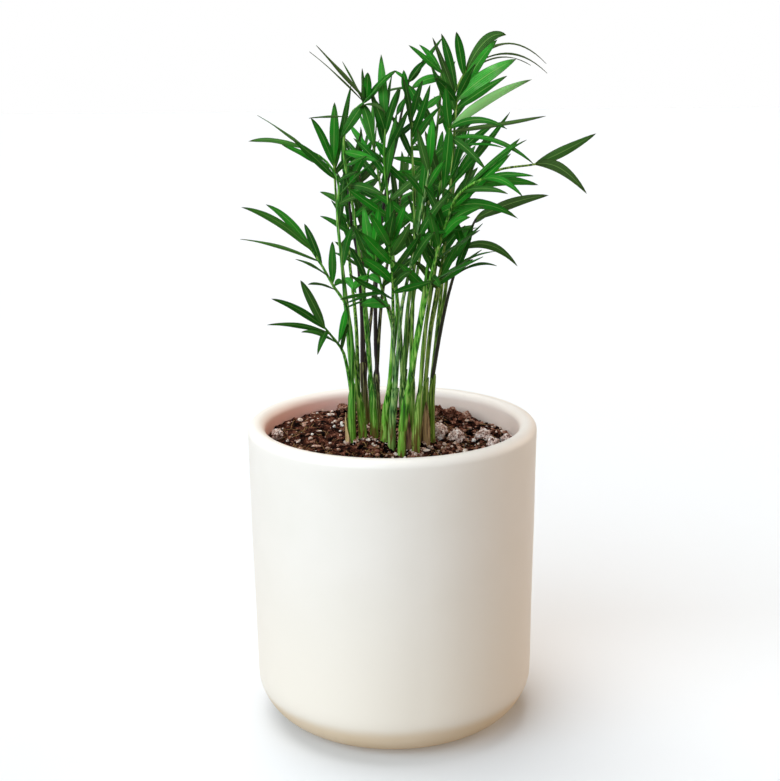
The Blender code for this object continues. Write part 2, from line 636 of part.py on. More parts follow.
def smooth_line(corners, spacing, fine_steps=10):
    """A Catmull-Rom curve through the corners, divided evenly."""
    corners = [Vector(corner) for corner in corners]
    ends = [corners[0] * 2 - corners[1]] + corners + [corners[-1] * 2 - corners[-2]]
    fine = []
    for a, b, c, d in zip(ends, ends[1:], ends[2:], ends[3:]):
        for step in range(fine_steps):
            t = step / fine_steps
            square = a * 2 - b * 5 + c * 4 - d
            cube = b * 3 - a - c * 3 + d
            fine.append((b * 2 + (c - a) * t + square * t ** 2 + cube * t ** 3) * 0.5)
    fine.append(corners[-1])
    return even_points(fine, spacing)


def line_length(line):
    return sum((b - a).length for a, b in zip(line, line[1:]))


def point_along(line, distance):
    """The point and the direction at a distance from the line's start."""
    for a, b in zip(line, line[1:]):
        step = (b - a).length
        if distance <= step:
            return a.lerp(b, distance / step), (b - a).normalized()
        distance -= step
    return line[-1].copy(), (line[-1] - line[-2]).normalized()


def point_at_height(line, height):
    """The point where a rising line reaches a height."""
    for a, b in zip(line, line[1:]):
        if a.z <= height <= b.z:
            return a.lerp(b, (height - a.z) / (b.z - a.z))
    return line[-1].copy()


def stem_line(palm):
    """A stem's centre line: upright in the soil, then along its own points."""
    above = [(*palm.foot, STEM_UPRIGHT), (*palm.foot, SOIL_SURFACE), *palm.stem]
    return [Vector((*palm.foot, STEM_FOOT))] + smooth_line(above, TUBE_SPACING)


def stalk_line(palm, frond, spacing):
    """A frond's centre line: its root inside the stem, then its stalk and rib."""
    stem = stem_line(palm)
    root = point_at_height(stem, frond.leaves_at - STALK_ROOT)
    leave = point_at_height(stem, frond.leaves_at)
    return smooth_line([root, leave, *frond.path], spacing)


def tube(name, line, radii, rounding, collection):
    """A bevelled curve made a closed mesh, with its caps welded."""
    curve = bpy.data.curves.new(name, "CURVE")
    curve.dimensions = "3D"
    curve.bevel_depth = MM
    curve.bevel_resolution = rounding
    curve.use_fill_caps = True
    spline = curve.splines.new("POLY")
    spline.points.add(len(line) - 1)
    for point, place, radius in zip(spline.points, line, radii):
        point.co = (*(place * MM), 1)
        point.radius = radius
    guide = add_object(name, curve, collection)
    mesh = evaluated_mesh(guide)
    bpy.data.objects.remove(guide, do_unlink=True)
    welded = bmesh.new()
    welded.from_mesh(mesh)
    bmesh.ops.remove_doubles(welded, verts=welded.verts, dist=WELD)
    bmesh.ops.recalc_face_normals(welded, faces=welded.faces)
    welded.to_mesh(mesh)
    welded.free()
    return add_object(name, mesh, collection)


def taper(line, start, end):
    """Radii that go evenly from the start's to the end's."""
    return [start + (end - start) * i / (len(line) - 1) for i in range(len(line))]


def across(direction, up):
    """The side direction of a blade whose face looks along up."""
    side = direction.cross(up)
    if side.length < NEARLY_PARALLEL:
        side = direction.cross(Vector((1, 0, 0.2)))
    return side.normalized()


def reach_leaflet(reach, line, rib):
    """A leaflet with its own tip, its middle raised above a straight line by its bow."""
    root, _ = point_along(line, line_length(line) - rib * (1 - reach.place))
    tip = Vector(reach.tip)
    direction = (tip - root).normalized()
    face = direction.cross(FRONT).cross(direction).normalized()
    up = Matrix.Rotation(math.radians(reach.turn), 3, direction) @ face
    if up.z < 0:
        up = Matrix.Rotation(math.radians(-reach.turn), 3, direction) @ face
    control = root.lerp(tip, 0.5) + UP * reach.bow * (tip - root).length * 2
    stations = ARCHED_STATIONS if reach.bow >= ARCHED_BOW else BLADE_STATIONS
    return Leaflet(root, control, tip, reach.width, up, stations)


def rule_leaflets(frond, line, draw):
    """Leaflets in pairs along the rib: wide apart at its foot, close to it at its tip."""
    total = line_length(line)
    leaflets = []
    for pair in range(frond.pairs):
        place = (pair + PAIR_START) / (frond.pairs - 1 + PAIR_START)
        spread = PAIR_ANGLE_FOOT + (PAIR_ANGLE_TIP - PAIR_ANGLE_FOOT) * place
        swell = math.sin(math.pi * (SWELL_START + SWELL_SPAN * place))
        for side in (-1, 1):
            share = min(1.0, place + side * PAIR_SHIFT / frond.pairs)
            root, direction = point_along(line, total - frond.rib * (1 - share))
            angle = math.radians(spread + draw.uniform(-PAIR_ANGLE_VARIES, PAIR_ANGLE_VARIES))
            length = frond.length * (PAIR_SHORTEST + PAIR_SWELL * swell) * draw.uniform(*PAIR_LENGTH_VARIES)
            sideways = across(direction, Vector(frond.face))
            face = sideways.cross(direction).normalized()
            way = direction * math.cos(angle) + sideways * side * math.sin(angle)
            drop = UP * frond.droop * length * draw.uniform(*PAIR_DROOP_VARIES)
            tip = root + way * length + face * TIP_LIFT * length - drop
            control = root + way * length / 2 + face * MIDDLE_LIFT * length
            turn = math.radians(draw.uniform(-PAIR_ROLL_VARIES, PAIR_ROLL_VARIES))
            up = Matrix.Rotation(turn, 3, (tip - root).normalized()) @ face
            width = frond.width * draw.uniform(*PAIR_WIDTH_VARIES)
            leaflets.append(Leaflet(root, control, tip, width, up, BLADE_STATIONS))
    return leaflets


def blade_points(leaflet, grow=0.0):
    """Rings of left edge, right edge and keel along a leaflet, and its tip."""
    rings = []
    root, control, tip = leaflet.root, leaflet.control, leaflet.tip
    for place, share in leaflet.stations:
        centre = root.lerp(control, place).lerp(control.lerp(tip, place), place)
        direction = (control.lerp(tip, place) - root.lerp(control, place)).normalized()
        side = across(direction, leaflet.up)
        up = side.cross(direction)
        half = leaflet.width * share / 2 + grow
        keel = BLADE_KEEL * (KEEL_LEAST + (1 - KEEL_LEAST) * share) * (KEEL_AT_ROOT if place == 0 else 1.0)
        middle = centre + up * (keel * KEEL_ABOVE + grow)
        lowest = centre - up * (keel * (1 - KEEL_ABOVE) + grow)
        rings.append((middle - side * half, middle + side * half, lowest))
    end = tip + (tip - control).normalized() * grow
    return rings, end


def blade_polygons(rings):
    """Triangles of a blade whose ring points are numbered in order, with the tip last."""
    faces = [(0, 2, 1)]
    for ring in range(len(rings) - 1):
        low = ring * 3
        for corner in range(3):
            after = (corner + 1) % 3
            faces.append((low + corner, low + after, low + 3 + corner))
            faces.append((low + after, low + 3 + after, low + 3 + corner))
    last = (len(rings) - 1) * 3
    tip = last + 3
    faces += [(last, last + 1, tip), (last + 1, last + 2, tip), (last + 2, last, tip)]
    return faces


def blade_tree(leaflet, grow):
    rings, end = blade_points(leaflet, grow)
    points = [point for ring in rings for point in ring] + [end]
    return points, BVHTree.FromPolygons(points, blade_polygons(rings), all_triangles=True)


def box_of(points):
    low = [min(point[axis] for point in points) for axis in range(3)]
    high = [max(point[axis] for point in points) for axis in range(3)]
    return low, high


def boxes_meet(one, other):
    return all(one[0][axis] <= other[1][axis] and other[0][axis] <= one[1][axis] for axis in range(3))


def is_clear(leaflet, owner, taken):
    """Whether a leaflet, grown by the clearance, crosses nothing of another palm."""
    points, tree = blade_tree(leaflet, BLADE_CLEARANCE)
    box = box_of(points)
    for holder, other_box, other_tree in taken:
        if holder != owner and boxes_meet(box, other_box) and tree.overlap(other_tree):
            return False
    return True


def place_leaflet(leaflet, owner, taken):
    """Bend or shorten a leaflet until it is clear of the other palms, or leave it out."""
    for shrink in LEAFLET_SHRINKS:
        for shift in LEAFLET_TRIES:
            move = Vector(shift)
            tip = leaflet.root.lerp(leaflet.tip, shrink) + move
            control = leaflet.root.lerp(leaflet.control, shrink) + move * MIDDLE_FOLLOWS
            tried = leaflet._replace(tip=tip, control=control)
            if is_clear(tried, owner, taken):
                points, tree = blade_tree(tried, 0.0)
                taken.append((owner, box_of(points), tree))
                return tried
    return None


def tube_tree(piece):
    points = [vertex.co / MM for vertex in piece.data.vertices]
    faces = [tuple(face.vertices) for face in piece.data.polygons]
    return box_of(points), BVHTree.FromPolygons(points, faces)


def wanted_leaflets(palm, draw):
    """Every leaflet of a palm: the reaching ones of each frond first, then those in pairs."""
    leaflets = []
    for frond in palm.fronds:
        line = stalk_line(palm, frond, TUBE_SPACING)
        leaflets += [reach_leaflet(reach, line, frond.rib) for reach in frond.reach]
        leaflets += rule_leaflets(frond, line, draw)
    return leaflets


def place_leaflets(taken):
    """Leaflets of every palm, each clear of the other palms."""
    placed = {}
    for name, palm in PALMS.items():
        draw = random.Random(SEED * 1000 + int(name[-2:]))
        tried = [place_leaflet(leaflet, name, taken) for leaflet in wanted_leaflets(palm, draw)]
        placed[name] = [leaflet for leaflet in tried if leaflet]
    return placed


def build_tubes(name, palm, collection, repeats):
    """A palm's stem, and the stalk and rib of each of its fronds."""
    line = stem_line(palm)
    stem = tube(name, line, taper(line, palm.radius, STEM_RADIUS_TOP), STEM_ROUNDING, collection)
    pieces = [stem]
    for number, frond in enumerate(palm.fronds):
        line = stalk_line(palm, frond, TUBE_SPACING)
        radii = taper(line, STALK_RADIUS, RIB_TIP_RADIUS)
        pieces.append(tube(f"{name}_frond_{number}", line, radii, STALK_ROUNDING, repeats))
    return pieces


def add_blade(name, leaflet, collection):
    rings, end = blade_points(leaflet)
    points = [point * MM for ring in rings for point in ring] + [end * MM]
    mesh = bpy.data.meshes.new(name)
    mesh.from_pydata(points, [], blade_polygons(rings))
    add_object(name, mesh, collection)


def fuse(stem, repeats):
    """Join a stem with every object of the repeats' collection, then remove those objects."""
    union = stem.modifiers.new("fuse", "BOOLEAN")
    union.operation = "UNION"
    union.operand_type = "COLLECTION"
    union.collection = repeats
    union.solver = "MANIFOLD"
    apply_modifiers(stem)
    for piece in list(repeats.objects):
        bpy.data.objects.remove(piece, do_unlink=True)
    bpy.data.collections.remove(repeats)


def build_palms(collection):
    repeats = {name: new_collection(name + "_repeats") for name in PALMS}
    stems = {}
    taken = []
    for name, palm in PALMS.items():
        pieces = build_tubes(name, palm, collection, repeats[name])
        stems[name] = pieces[0]
        taken += [(name, *tube_tree(piece)) for piece in pieces]
    for name, leaflets in place_leaflets(taken).items():
        for number, leaflet in enumerate(leaflets):
            add_blade(f"{name}_leaflet_{number}", leaflet, repeats[name])
        fuse(stems[name], repeats[name])
        set_material(stems[name], PALMS[name].colour, 0.5)


def build_sheath(name, palm, top, opening, colour, collection):
    """A dry leaf base: a thin wall bent round the stem, narrowing to a point."""
    inner = palm.radius + SHEATH_SPACE
    line = stem_line(palm)
    sheet = bmesh.new()
    bmesh.ops.create_grid(sheet, x_segments=SHEATH_DIVISIONS, y_segments=SHEATH_DIVISIONS, size=0.5)
    for vertex in sheet.verts:
        across_share, up_share = vertex.co.x, vertex.co.y + 0.5
        height = SHEATH_FOOT + (top - SHEATH_FOOT) * up_share
        centre = point_at_height(line, height)
        narrowing = 1 - SHEATH_NARROWING * up_share ** 2
        angle = math.radians(opening + SHEATH_ARC * narrowing * across_share)
        radius = inner + SHEATH_FLARE * up_share
        vertex.co = (centre + Vector((math.cos(angle) * radius, math.sin(angle) * radius, 0))) * MM
    mesh = bpy.data.meshes.new(name)
    sheet.to_mesh(mesh)
    sheet.free()
    sheath = add_object(name, mesh, collection)
    thick = sheath.modifiers.new("thickness", "SOLIDIFY")
    thick.thickness = SHEATH_THICKNESS * MM
    thick.offset = 1.0
    apply_modifiers(sheath)
    set_material(sheath, colour, 0.8)


def main():
    clear_scene()
    plant = new_collection("potted_parlor_palm")
    cutters = new_collection("cutters")
    build_pot(plant)
    soil = build_soil(plant)
    build_pumice(plant, cutters)
    add_holes(cutters)
    cut_with(soil, cutters)
    build_palms(plant)
    for name, (palm_name, top, opening, colour) in SHEATHS.items():
        build_sheath(name, PALMS[palm_name], top, opening, colour, plant)
    for cutter in cutters.objects:
        cutter.hide_render = True
        cutter.display_type = "WIRE"


if __name__ == "__main__":
    main()
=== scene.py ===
"""Looks of the potted parlor palm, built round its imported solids.

Lengths are in millimetres, and MM turns them to metres where a mesh is made. The plants' layout
repeats the part's, so that each finer palm grows where its solid stands. Its leaflets follow the
solid's, apart from a twist and a slight sideways curve of their own.
"""

import math
import random
from collections import namedtuple

import bmesh
import bpy
from mathutils import Matrix, Vector, noise
from mathutils.bvhtree import BVHTree


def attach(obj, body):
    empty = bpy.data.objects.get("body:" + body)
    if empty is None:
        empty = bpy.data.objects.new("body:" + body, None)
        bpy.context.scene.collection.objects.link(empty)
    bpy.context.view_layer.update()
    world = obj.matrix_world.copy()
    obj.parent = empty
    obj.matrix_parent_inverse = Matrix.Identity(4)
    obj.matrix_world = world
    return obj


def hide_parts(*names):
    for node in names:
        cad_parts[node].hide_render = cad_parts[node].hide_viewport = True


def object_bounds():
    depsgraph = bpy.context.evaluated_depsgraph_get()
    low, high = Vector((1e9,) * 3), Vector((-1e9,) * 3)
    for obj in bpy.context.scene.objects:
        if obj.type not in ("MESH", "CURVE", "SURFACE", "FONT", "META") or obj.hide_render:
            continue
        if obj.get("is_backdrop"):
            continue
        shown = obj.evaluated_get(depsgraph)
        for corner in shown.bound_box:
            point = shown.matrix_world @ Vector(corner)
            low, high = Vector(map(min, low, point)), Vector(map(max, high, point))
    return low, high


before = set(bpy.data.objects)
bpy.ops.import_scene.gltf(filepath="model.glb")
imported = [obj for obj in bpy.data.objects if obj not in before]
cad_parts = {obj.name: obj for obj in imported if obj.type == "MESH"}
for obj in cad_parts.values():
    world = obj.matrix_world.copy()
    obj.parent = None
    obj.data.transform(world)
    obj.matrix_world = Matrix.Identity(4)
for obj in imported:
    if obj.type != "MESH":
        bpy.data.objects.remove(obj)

CAD_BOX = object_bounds()
MM = 0.001
UP = Vector((0, 0, 1))

# Sizes and layout, as in the part
GAP = 0.3
SEED = 41

# The pot: a cylinder with a slight draft, a half-round lip and a rounded lower edge
POT_RADIUS_TOP = 82.5
POT_RADIUS_LOW = 80.5
POT_HEIGHT = 176.0
POT_WALL = 10.0
POT_FLOOR = 12.0
POT_ROUNDING = 27.0
INNER_ROUNDING = POT_ROUNDING - POT_WALL
INNER_WALL_LOW = POT_FLOOR + INNER_ROUNDING

# The soil: mounded in the middle, lower towards the wall and to the right
SOIL_EDGE_HEIGHT = 162.5
SOIL_MOUND = 4.5
SOIL_TILT_X = -0.035
SOIL_TILT_Y = 0.028

# A stem's foot in the soil, the height it bends from, and a height just above the soil
STEM_FOOT = 140.0
STEM_UPRIGHT = 160.0
SOIL_SURFACE = 170.0

# Stems, leaf stalks and ribs are tubes that get thinner towards the tip
STEM_RADIUS_TOP = 1.6
STALK_RADIUS = 1.25
RIB_TIP_RADIUS = 0.6
STALK_ROOT = 9.0
TUBE_SPACING = 15.0
STEM_ROUNDING = 1
STALK_ROUNDING = 0

# A leaflet is a lance-shaped blade with a flat upper face and a keel below
BLADE_STATIONS = ((0.0, 0.18), (0.33, 1.0), (0.7, 0.74))
ARCHED_STATIONS = ((0.0, 0.18), (0.2, 0.8), (0.4, 1.0), (0.6, 0.9), (0.8, 0.58))
ARCHED_BOW = 0.14
BLADE_KEEL = 0.9
KEEL_ABOVE = 0.35
KEEL_LEAST = 0.5
KEEL_AT_ROOT = 0.6
NEARLY_PARALLEL = 0.05

# Leaflets in pairs: degrees from the rib at its foot and tip, and how far each one varies
PAIR_START = 0.6
PAIR_SHIFT = 0.22
PAIR_ANGLE_FOOT = 52.0
PAIR_ANGLE_TIP = 16.0
PAIR_ANGLE_VARIES = 7.0
PAIR_ROLL_VARIES = 42.0
PAIR_LENGTH_VARIES = (0.9, 1.08)
PAIR_WIDTH_VARIES = (0.82, 1.15)
PAIR_DROOP_VARIES = (0.4, 1.6)

# A rib's middle leaflets are its longest: shortest share, swell, and the swell's start and span
PAIR_SHORTEST = 0.74
PAIR_SWELL = 0.3
SWELL_START = 0.15
SWELL_SPAN = 0.75
TIP_LIFT = 0.1
MIDDLE_LIFT = 0.14

# How far, in mm, a leaflet's tip may be moved, and how far it is shortened, to clear other palms
BLADE_CLEARANCE = 0.3
LEAFLET_TRIES = (
    (0, 0, 0), (0, 5, 0), (0, -5, 0), (0, 10, 0), (0, -10, 0),
    (0, 0, 6), (0, 0, -6), (6, 0, 0), (-6, 0, 0),
    (0, 16, 0), (0, -16, 0), (0, 0, 12), (0, 0, -12), (12, 0, 0), (-12, 0, 0),
)
LEAFLET_SHRINKS = (1.0, 0.85, 0.7)
MIDDLE_FOLLOWS = 0.4

FRONT = Vector((0, -1, 0.25))

Palm = namedtuple("Palm", "foot stem radius colour fronds")
Frond = namedtuple(
    "Frond", "leaves_at path rib pairs length width face droop reach",
    defaults=(0, 36, 5.5, (0, -0.6, 1), 0.12, ()),
)
# Reaching leaflets are set one by one: place along the rib, tip, width, bow and turn from the front
Reach = namedtuple("Reach", "place tip width bow turn", defaults=(0.08, 20))
Leaflet = namedtuple("Leaflet", "root control tip width up stations")

PALMS = {
    "palm_01": Palm((-23, -13), ((-22.5, -13, 188), (-22, -14, 206)), 2.8, "#3E8F22", (
        Frond(
            206, ((-22, -15, 228), (-25, -16, 246), (-31, -18, 256), (-38, -22, 270), (-43, -24, 278)),
            40,
            reach=(
                (1.0, (-78, -40, 303), 4.4), (0.97, (-67, -20, 302), 4.4),
                (0.8, (-80, -32, 285), 3.4, 0.06, 55), (0.72, (-47, -10, 290), 4.4),
                (0.42, (-31, -30, 283), 4.6), (0.55, (-50, -45, 276), 3.0, 0.06, 60),
                (0.3, (-44, -42, 262), 3.0, 0.06, 60), (0.08, (-4, -30, 257), 3.0, 0.04, 60),
                (0.02, (-4, -26, 252), 2.8, 0.04, 65), (0.0, (-29, -25, 226), 3.8, 0.04, 15),
            ),
        ),
        Frond(
            191, ((-24, -16, 206), (-26, -20, 218), (-28, -24, 224), (-36, -34, 237)), 30,
            reach=(
                (1.0, (-48, -40, 264), 5.2), (0.95, (-63, -50, 256), 4.2),
                (0.8, (-65, -55, 243), 3.6, 0.05, 40), (0.5, (-47, -60, 240), 3.2, 0.05, 50),
                (0.9, (-39, -56, 227), 3.6), (0.3, (-23, -14, 236), 3.0, 0.04, 50),
            ),
        ),
        Frond(
            200,
            (
                (-25, -10, 240), (-27, -8, 269), (-29, -6, 292), (-28, -4, 310), (-31, -3, 318),
                (-37, -2, 325), (-47, 0, 330),
            ),
            45,
            reach=(
                (1.0, (-77, 0, 334), 4.4, 0.08, 45), (0.93, (-73, 15, 347), 3.4, 0.03, 65),
                (0.6, (-58, -12, 333), 4.8, 0.04, 35), (0.45, (-52, -16, 336), 4.8, 0.05, 20),
                (0.4, (-17, -10, 318), 3.6, 0.05, 40), (0.22, (-3, -14, 326), 3.0, 0.07, 60),
                (0.12, (-12, -18, 306), 3.4, 0.05, 30),
            ),
        ),
    )),
    "palm_02": Palm((-16.5, -9.5), ((-18, -9, 187), (-19.5, -8, 200)), 2.7, "#4F8A1E", (
        Frond(
            200, ((-23, -3, 229), (-28, 5, 273), (-30, 8, 301), (-31, 10, 321)), 66,
            reach=(
                (1.0, (-30, 10, 354), 5.6), (0.97, (-43, 5, 346), 4.6),
                (0.93, (-21, 18, 363), 4.0, 0.04, 30), (0.9, (-17, 20, 326), 3.6),
                (0.62, (-7, 16, 312), 4.2, 0.05, 25), (0.45, (-26, 34, 314), 4.0),
                (0.3, (-6, 20, 287), 4.2, 0.05, 30), (0.0, (-31, -14, 256), 4.2, 0.1),
                (0.02, (-19, -16, 252), 4.0, 0.1), (0.12, (-20, -18, 290), 4.4, 0.03, 20),
            ),
        ),
        Frond(
            194, ((-20, 6, 232), (-24, 28, 268), (-24, 46, 294), (-20, 58, 312)), 52, 5, 36, 4.4,
            (0.9, -0.3, 0.3),
        ),
    )),
    "palm_03": Palm((-15, 20), ((-16, 20, 188), (-17, 21, 205)), 2.1, "#3B2C20", (
        Frond(
            205, ((-17, 20, 235), (-19, 22, 267), (-22, 24, 284), (-24, 28, 306)), 48,
            reach=(
                (0.75, (-40, 28, 303), 4.0), (0.4, (-40, 22, 290), 3.4),
                (0.05, (-33, 24, 269), 3.0, 0.05, 45), (0.6, (-0, 24, 301), 4.4),
                (0.3, (-1, 26, 288), 4.4), (1.0, (-26, 42, 333), 4.4),
                (0.95, (-9, 36, 332), 4.6), (0.9, (-16, 52, 336), 4.0, 0.04, 40),
            ),
        ),
        Frond(198, ((-16, 28, 236), (-17, 40, 288), (-18, 58, 312)), 54, 5, 38, 4.4, (0.8, -0.5, 0.3)),
        Frond(190, ((-12, 28, 228), (-6, 46, 272), (2, 68, 288)), 52, 5, 36, 4.6, (0, -0.3, 1)),
    )),
    "palm_04": Palm((-10, -6), ((-11, -5, 190), (-12, -4, 205)), 2.7, "#3F8C20", (
        Frond(
            205, ((-14, 0, 238), (-20, 1, 293), (-25, -3, 329), (-21, -8, 348), (-12, -13, 356)), 62,
            reach=(
                (1.0, (-38, -20, 385), 3.8, 0.02, 55), (0.97, (-25, 0, 376), 2.8, 0.02, 65),
                (0.95, (-14, -22, 373), 3.2, 0.02, 50), (1.0, (-11, -28, 371), 4.6),
                (0.97, (-41, -32, 382), 2.8, 0.03, 70), (0.98, (4, -30, 372), 4.6, 0.09, 30),
                (0.9, (-5, -38, 364), 3.0, 0.03, 50), (0.95, (-26, -28, 337), 5.4, 0.02, 5),
                (0.95, (-8, -34, 332), 5.2, 0.06, 15), (0.78, (-43, -14, 347), 3.0, 0.04, 65),
                (0.45, (-6, -28, 325), 4.4, 0.03, 20), (0.33, (-12, -30, 328), 3.8, 0.03, 30),
                (0.88, (-2, -40, 351), 3.4, 0.12, 45), (0.15, (-3, -30, 307), 4.4, 0.06, 20),
            ),
        ),
        Frond(
            198, ((-15, -18, 249), (-13, -26, 259), (-12, -34, 267), (-10, -40, 274)), 26,
            reach=(
                (1.0, (-14, -44, 304), 5.6, 0.03, 10), (0.97, (-6, -50, 305), 5.4, 0.03, 15),
                (0.8, (-20, -42, 294), 4.4, 0.03, 25), (0.75, (-1, -54, 296), 4.6, 0.04, 20),
                (0.5, (-20, -48, 259), 4.8, 0.08, 15), (0.45, (-5, -56, 264), 4.0, 0.08, 20),
                (0.3, (-22, -34, 281), 4.2, 0.03, 30),
            ),
        ),
    )),
    "palm_05": Palm((-4.5, -15.5), ((-3, -18, 188), (-1, -21, 204)), 2.8, "#4C9A25", (
        Frond(
            204, ((1, -25, 233), (1, -34, 251), (1, -42, 264), (-0, -48, 276), (-1, -54, 286)), 44, 4,
            32, 5.0, (0, -1, 0.5),
            reach=(
                (1.0, (-0, -60, 310), 5.4, 0.03, 10), (0.9, (8, -56, 306), 5.0, 0.03, 20),
                (0.3, (11, -58, 271), 3.8, 0.06, 15),
            ),
        ),
        Frond(
            198,
            (
                (3, -20, 238), (3, -16, 254), (1, -16, 276), (-1, -17, 303), (-3, -18, 325),
                (-2, -18, 344),
            ),
            60, 3, 30, 4.2, (0, -1, 0.3),
            reach=(
                (1.0, (-4, -16, 380), 5.2, 0.03, 10), (0.97, (2, -8, 371), 3.0, 0.03, 55),
                (0.9, (5, -26, 363), 4.4, 0.04, 30), (0.8, (-9, -20, 361), 4.2, 0.03, 30),
                (0.5, (4, -22, 350), 4.4, 0.03, 20),
            ),
        ),
        Frond(
            192, ((1, -22, 227), (-2, -28, 247), (-5, -32, 258), (-7, -38, 270), (-8, -44, 279)), 34, 3,
            32, 5.2, (0, -1, 0.4),
        ),
    )),
    "palm_06": Palm((-0.5, -24.5), ((0.5, -26, 186), (2, -29, 202)), 2.2, "#5A8A4A", (
        Frond(
            196, ((1, -33, 235), (-0, -39, 244), (-1, -45, 251)), 14,
            reach=(
                (1.0, (-16, -56, 253), 5.6, 0.06, 5), (0.6, (-10, -60, 259), 3.0, 0.04, 60),
            ),
        ),
        Frond(
            202,
            (
                (5, -35, 241), (7, -41, 256), (11, -47, 274), (14, -51, 289), (16, -55, 302),
                (18, -58, 312), (20, -60, 324),
            ),
            62,
            reach=(
                (0.46, (65, -76, 299), 6.0, 0.17, 10), (0.4, (44, -64, 295), 3.0, 0.03, 50),
                (0.62, (19, -52, 331), 5.0, 0.03, 15), (0.2, (7, -60, 295), 4.8, 0.03, 15),
                (0.8, (28, -66, 329), 4.2, 0.04, 30), (0.76, (6, -72, 324), 3.8, 0.05, 30),
                (0.33, (31, -76, 314), 4.4, 0.04, 25), (1.0, (22, -60, 350), 4.4),
                (0.97, (14, -68, 345), 4.2, 0.04, 30), (0.1, (23, -66, 293), 4.4, 0.04, 25),
            ),
        ),
    )),
    "palm_07": Palm((5, -31.5), ((7, -32.5, 190), (10, -35, 210)), 2.9, "#4F9A28", (
        Frond(
            210,
            (
                (13, -38, 230), (16, -41, 247), (20, -43, 274), (24, -43, 301), (28, -43, 324),
                (31, -43, 343),
            ),
            56,
            reach=(
                (0.97, (82, -30, 348), 3.4, 0.005, 40), (1.0, (60, -52, 343), 4.0, 0.13, 15),
                (0.9, (73, -64, 326), 3.6, 0.12, 35), (0.93, (49, -62, 323), 4.0, 0.06, 15),
                (1.0, (74, -34, 367), 5.0, 0.03, 10), (0.8, (58, -58, 334), 2.8, 0.08, 60),
                (1.0, (27, -64, 311), 5.4, 0.07, 10), (1.0, (29, -46, 365), 4.8, 0.03, 15),
                (0.35, (40, -50, 332), 2.6, 0.02, 70), (0.3, (45, -52, 329), 2.6, 0.02, 70),
                (0.5, (18, -56, 343), 4.2, 0.03, 25), (0.2, (16, -58, 329), 4.2, 0.03, 30),
            ),
        ),
        Frond(
            203,
            (
                (14, -38, 228), (18, -43, 251), (23, -50, 275), (29, -58, 297), (33, -64, 309),
                (39, -70, 316), (46, -74, 320),
            ),
            56,
            reach=(
                (1.0, (71, -80, 322), 3.6, 0.05, 25), (0.85, (75, -66, 316), 5.0, 0.05, 10),
                (1.0, (65, -92, 313), 3.4, 0.16, 15), (0.75, (58, -86, 314), 3.6, 0.06),
                (0.5, (66, -60, 339), 5.8, 0.03, 10), (0.56, (60, -78, 333), 4.6, 0.03, 20),
                (0.35, (46, -88, 308), 4.2, 0.06, 20), (0.3, (17, -74, 317), 4.2, 0.05, 25),
                (0.12, (20, -76, 304), 4.2, 0.04, 25), (0.66, (67, -84, 340), 3.4, 0.05, 50),
                (0.2, (39, -80, 304), 4.4, 0.05, 20),
            ),
        ),
    )),
    "palm_08": Palm((9.5, -22.5), ((10.5, -22, 190), (11, -21, 206)), 2.8, "#5B8F2B", (
        Frond(
            206,
            (
                (11, -20, 221), (12, -17, 248), (13, -13, 281), (13, -10, 308), (12, -8, 332),
                (12, -7, 345),
            ),
            62, 4, 34, 4.2, (0, -1, 0.2),
            reach=(
                (0.0, (21, -20, 335), 4.4, 0.02, 15), (0.85, (22, -12, 364), 4.4, 0.03, 20),
            ),
        ),
        Frond(
            199, ((15, -29, 234), (19, -36, 256), (23, -44, 273), (26, -50, 284)), 36, 3, 32, 4.4,
            (0.3, -1, 0.4),
            reach=(
                (1.0, (33, -58, 305), 4.6, 0.03, 20), (0.9, (19, -60, 306), 4.6, 0.03, 20),
                (0.4, (26, -56, 261), 4.4, 0.08, 20),
            ),
        ),
    )),
    "palm_09": Palm((13, -29.6), ((14, -29, 188), (16, -28, 205)), 2.6, "#6F9A3A", (
        Frond(
            205, ((18, -28, 230), (23, -26, 261), (31, -20, 295), (54, -9, 316), (80, 2, 320)), 62,
            reach=(
                (1.0, (114, 8, 336), 5.6, -0.03, 10), (1.0, (108, -4, 304), 5.8, 0.2, 15),
                (0.2, (53, 2, 335), 3.4), (0.15, (22, -8, 312), 4.2, 0.05, 20),
            ),
        ),
        Frond(
            198, ((18, -27, 225), (20, -24, 244), (23, -20, 263), (25, -14, 278)), 34, 3, 32, 4.4,
            (0.2, -1, 0.4),
            reach=(
                (1.0, (30, -10, 302), 4.6, 0.03, 20), (0.9, (19, -12, 299), 4.6, 0.03, 20),
            ),
        ),
    )),
    "palm_10": Palm((18, -16), ((18, -16, 188), (19, -16, 204)), 2.5, "#56801F", (
        Frond(
            204,
            (
                (22, -16, 232), (26, -15, 253), (31, -13, 292), (34, -12, 324), (35, -13, 343),
                (36, -14, 356),
            ),
            62, 2, 32, 4.4, (0, -1, 0.3),
            reach=(
                (1.0, (67, -20, 377), 7.8, 0.05, 5), (0.98, (58, -6, 387), 5.8, 0.04, 10),
                (0.92, (61, -36, 369), 4.8, 0.04, 20), (0.97, (24, -28, 368), 5.0, 0.04, 15),
                (0.3, (42, -30, 347), 4.0, 0.03, 30), (0.26, (65, -8, 349), 4.0, 0.01, 25),
            ),
        ),
        Frond(
            197, ((21, -19, 229), (24, -26, 251), (27, -34, 270), (29, -40, 284)), 36, 3, 32, 4.4,
            (0.4, -0.9, 0.4),
            reach=(
                (1.0, (32, -46, 309), 4.6, 0.03, 20), (0.3, (36, -44, 285), 4.4, 0.04, 20),
            ),
        ),
    )),
    "palm_11": Palm((22, -9.5), ((22, -9, 188), (23, -8, 204)), 2.5, "#56801F", (
        Frond(
            204,
            ((26, -5, 228), (31, -2, 256), (34, 6, 311), (34, 13, 348), (38, 16, 362), (45, 18, 374)),
            50,
            reach=(
                (1.0, (88, 30, 373), 3.6, 0.25, 60), (0.9, (88, 24, 368), 2.8, 0.22, 65),
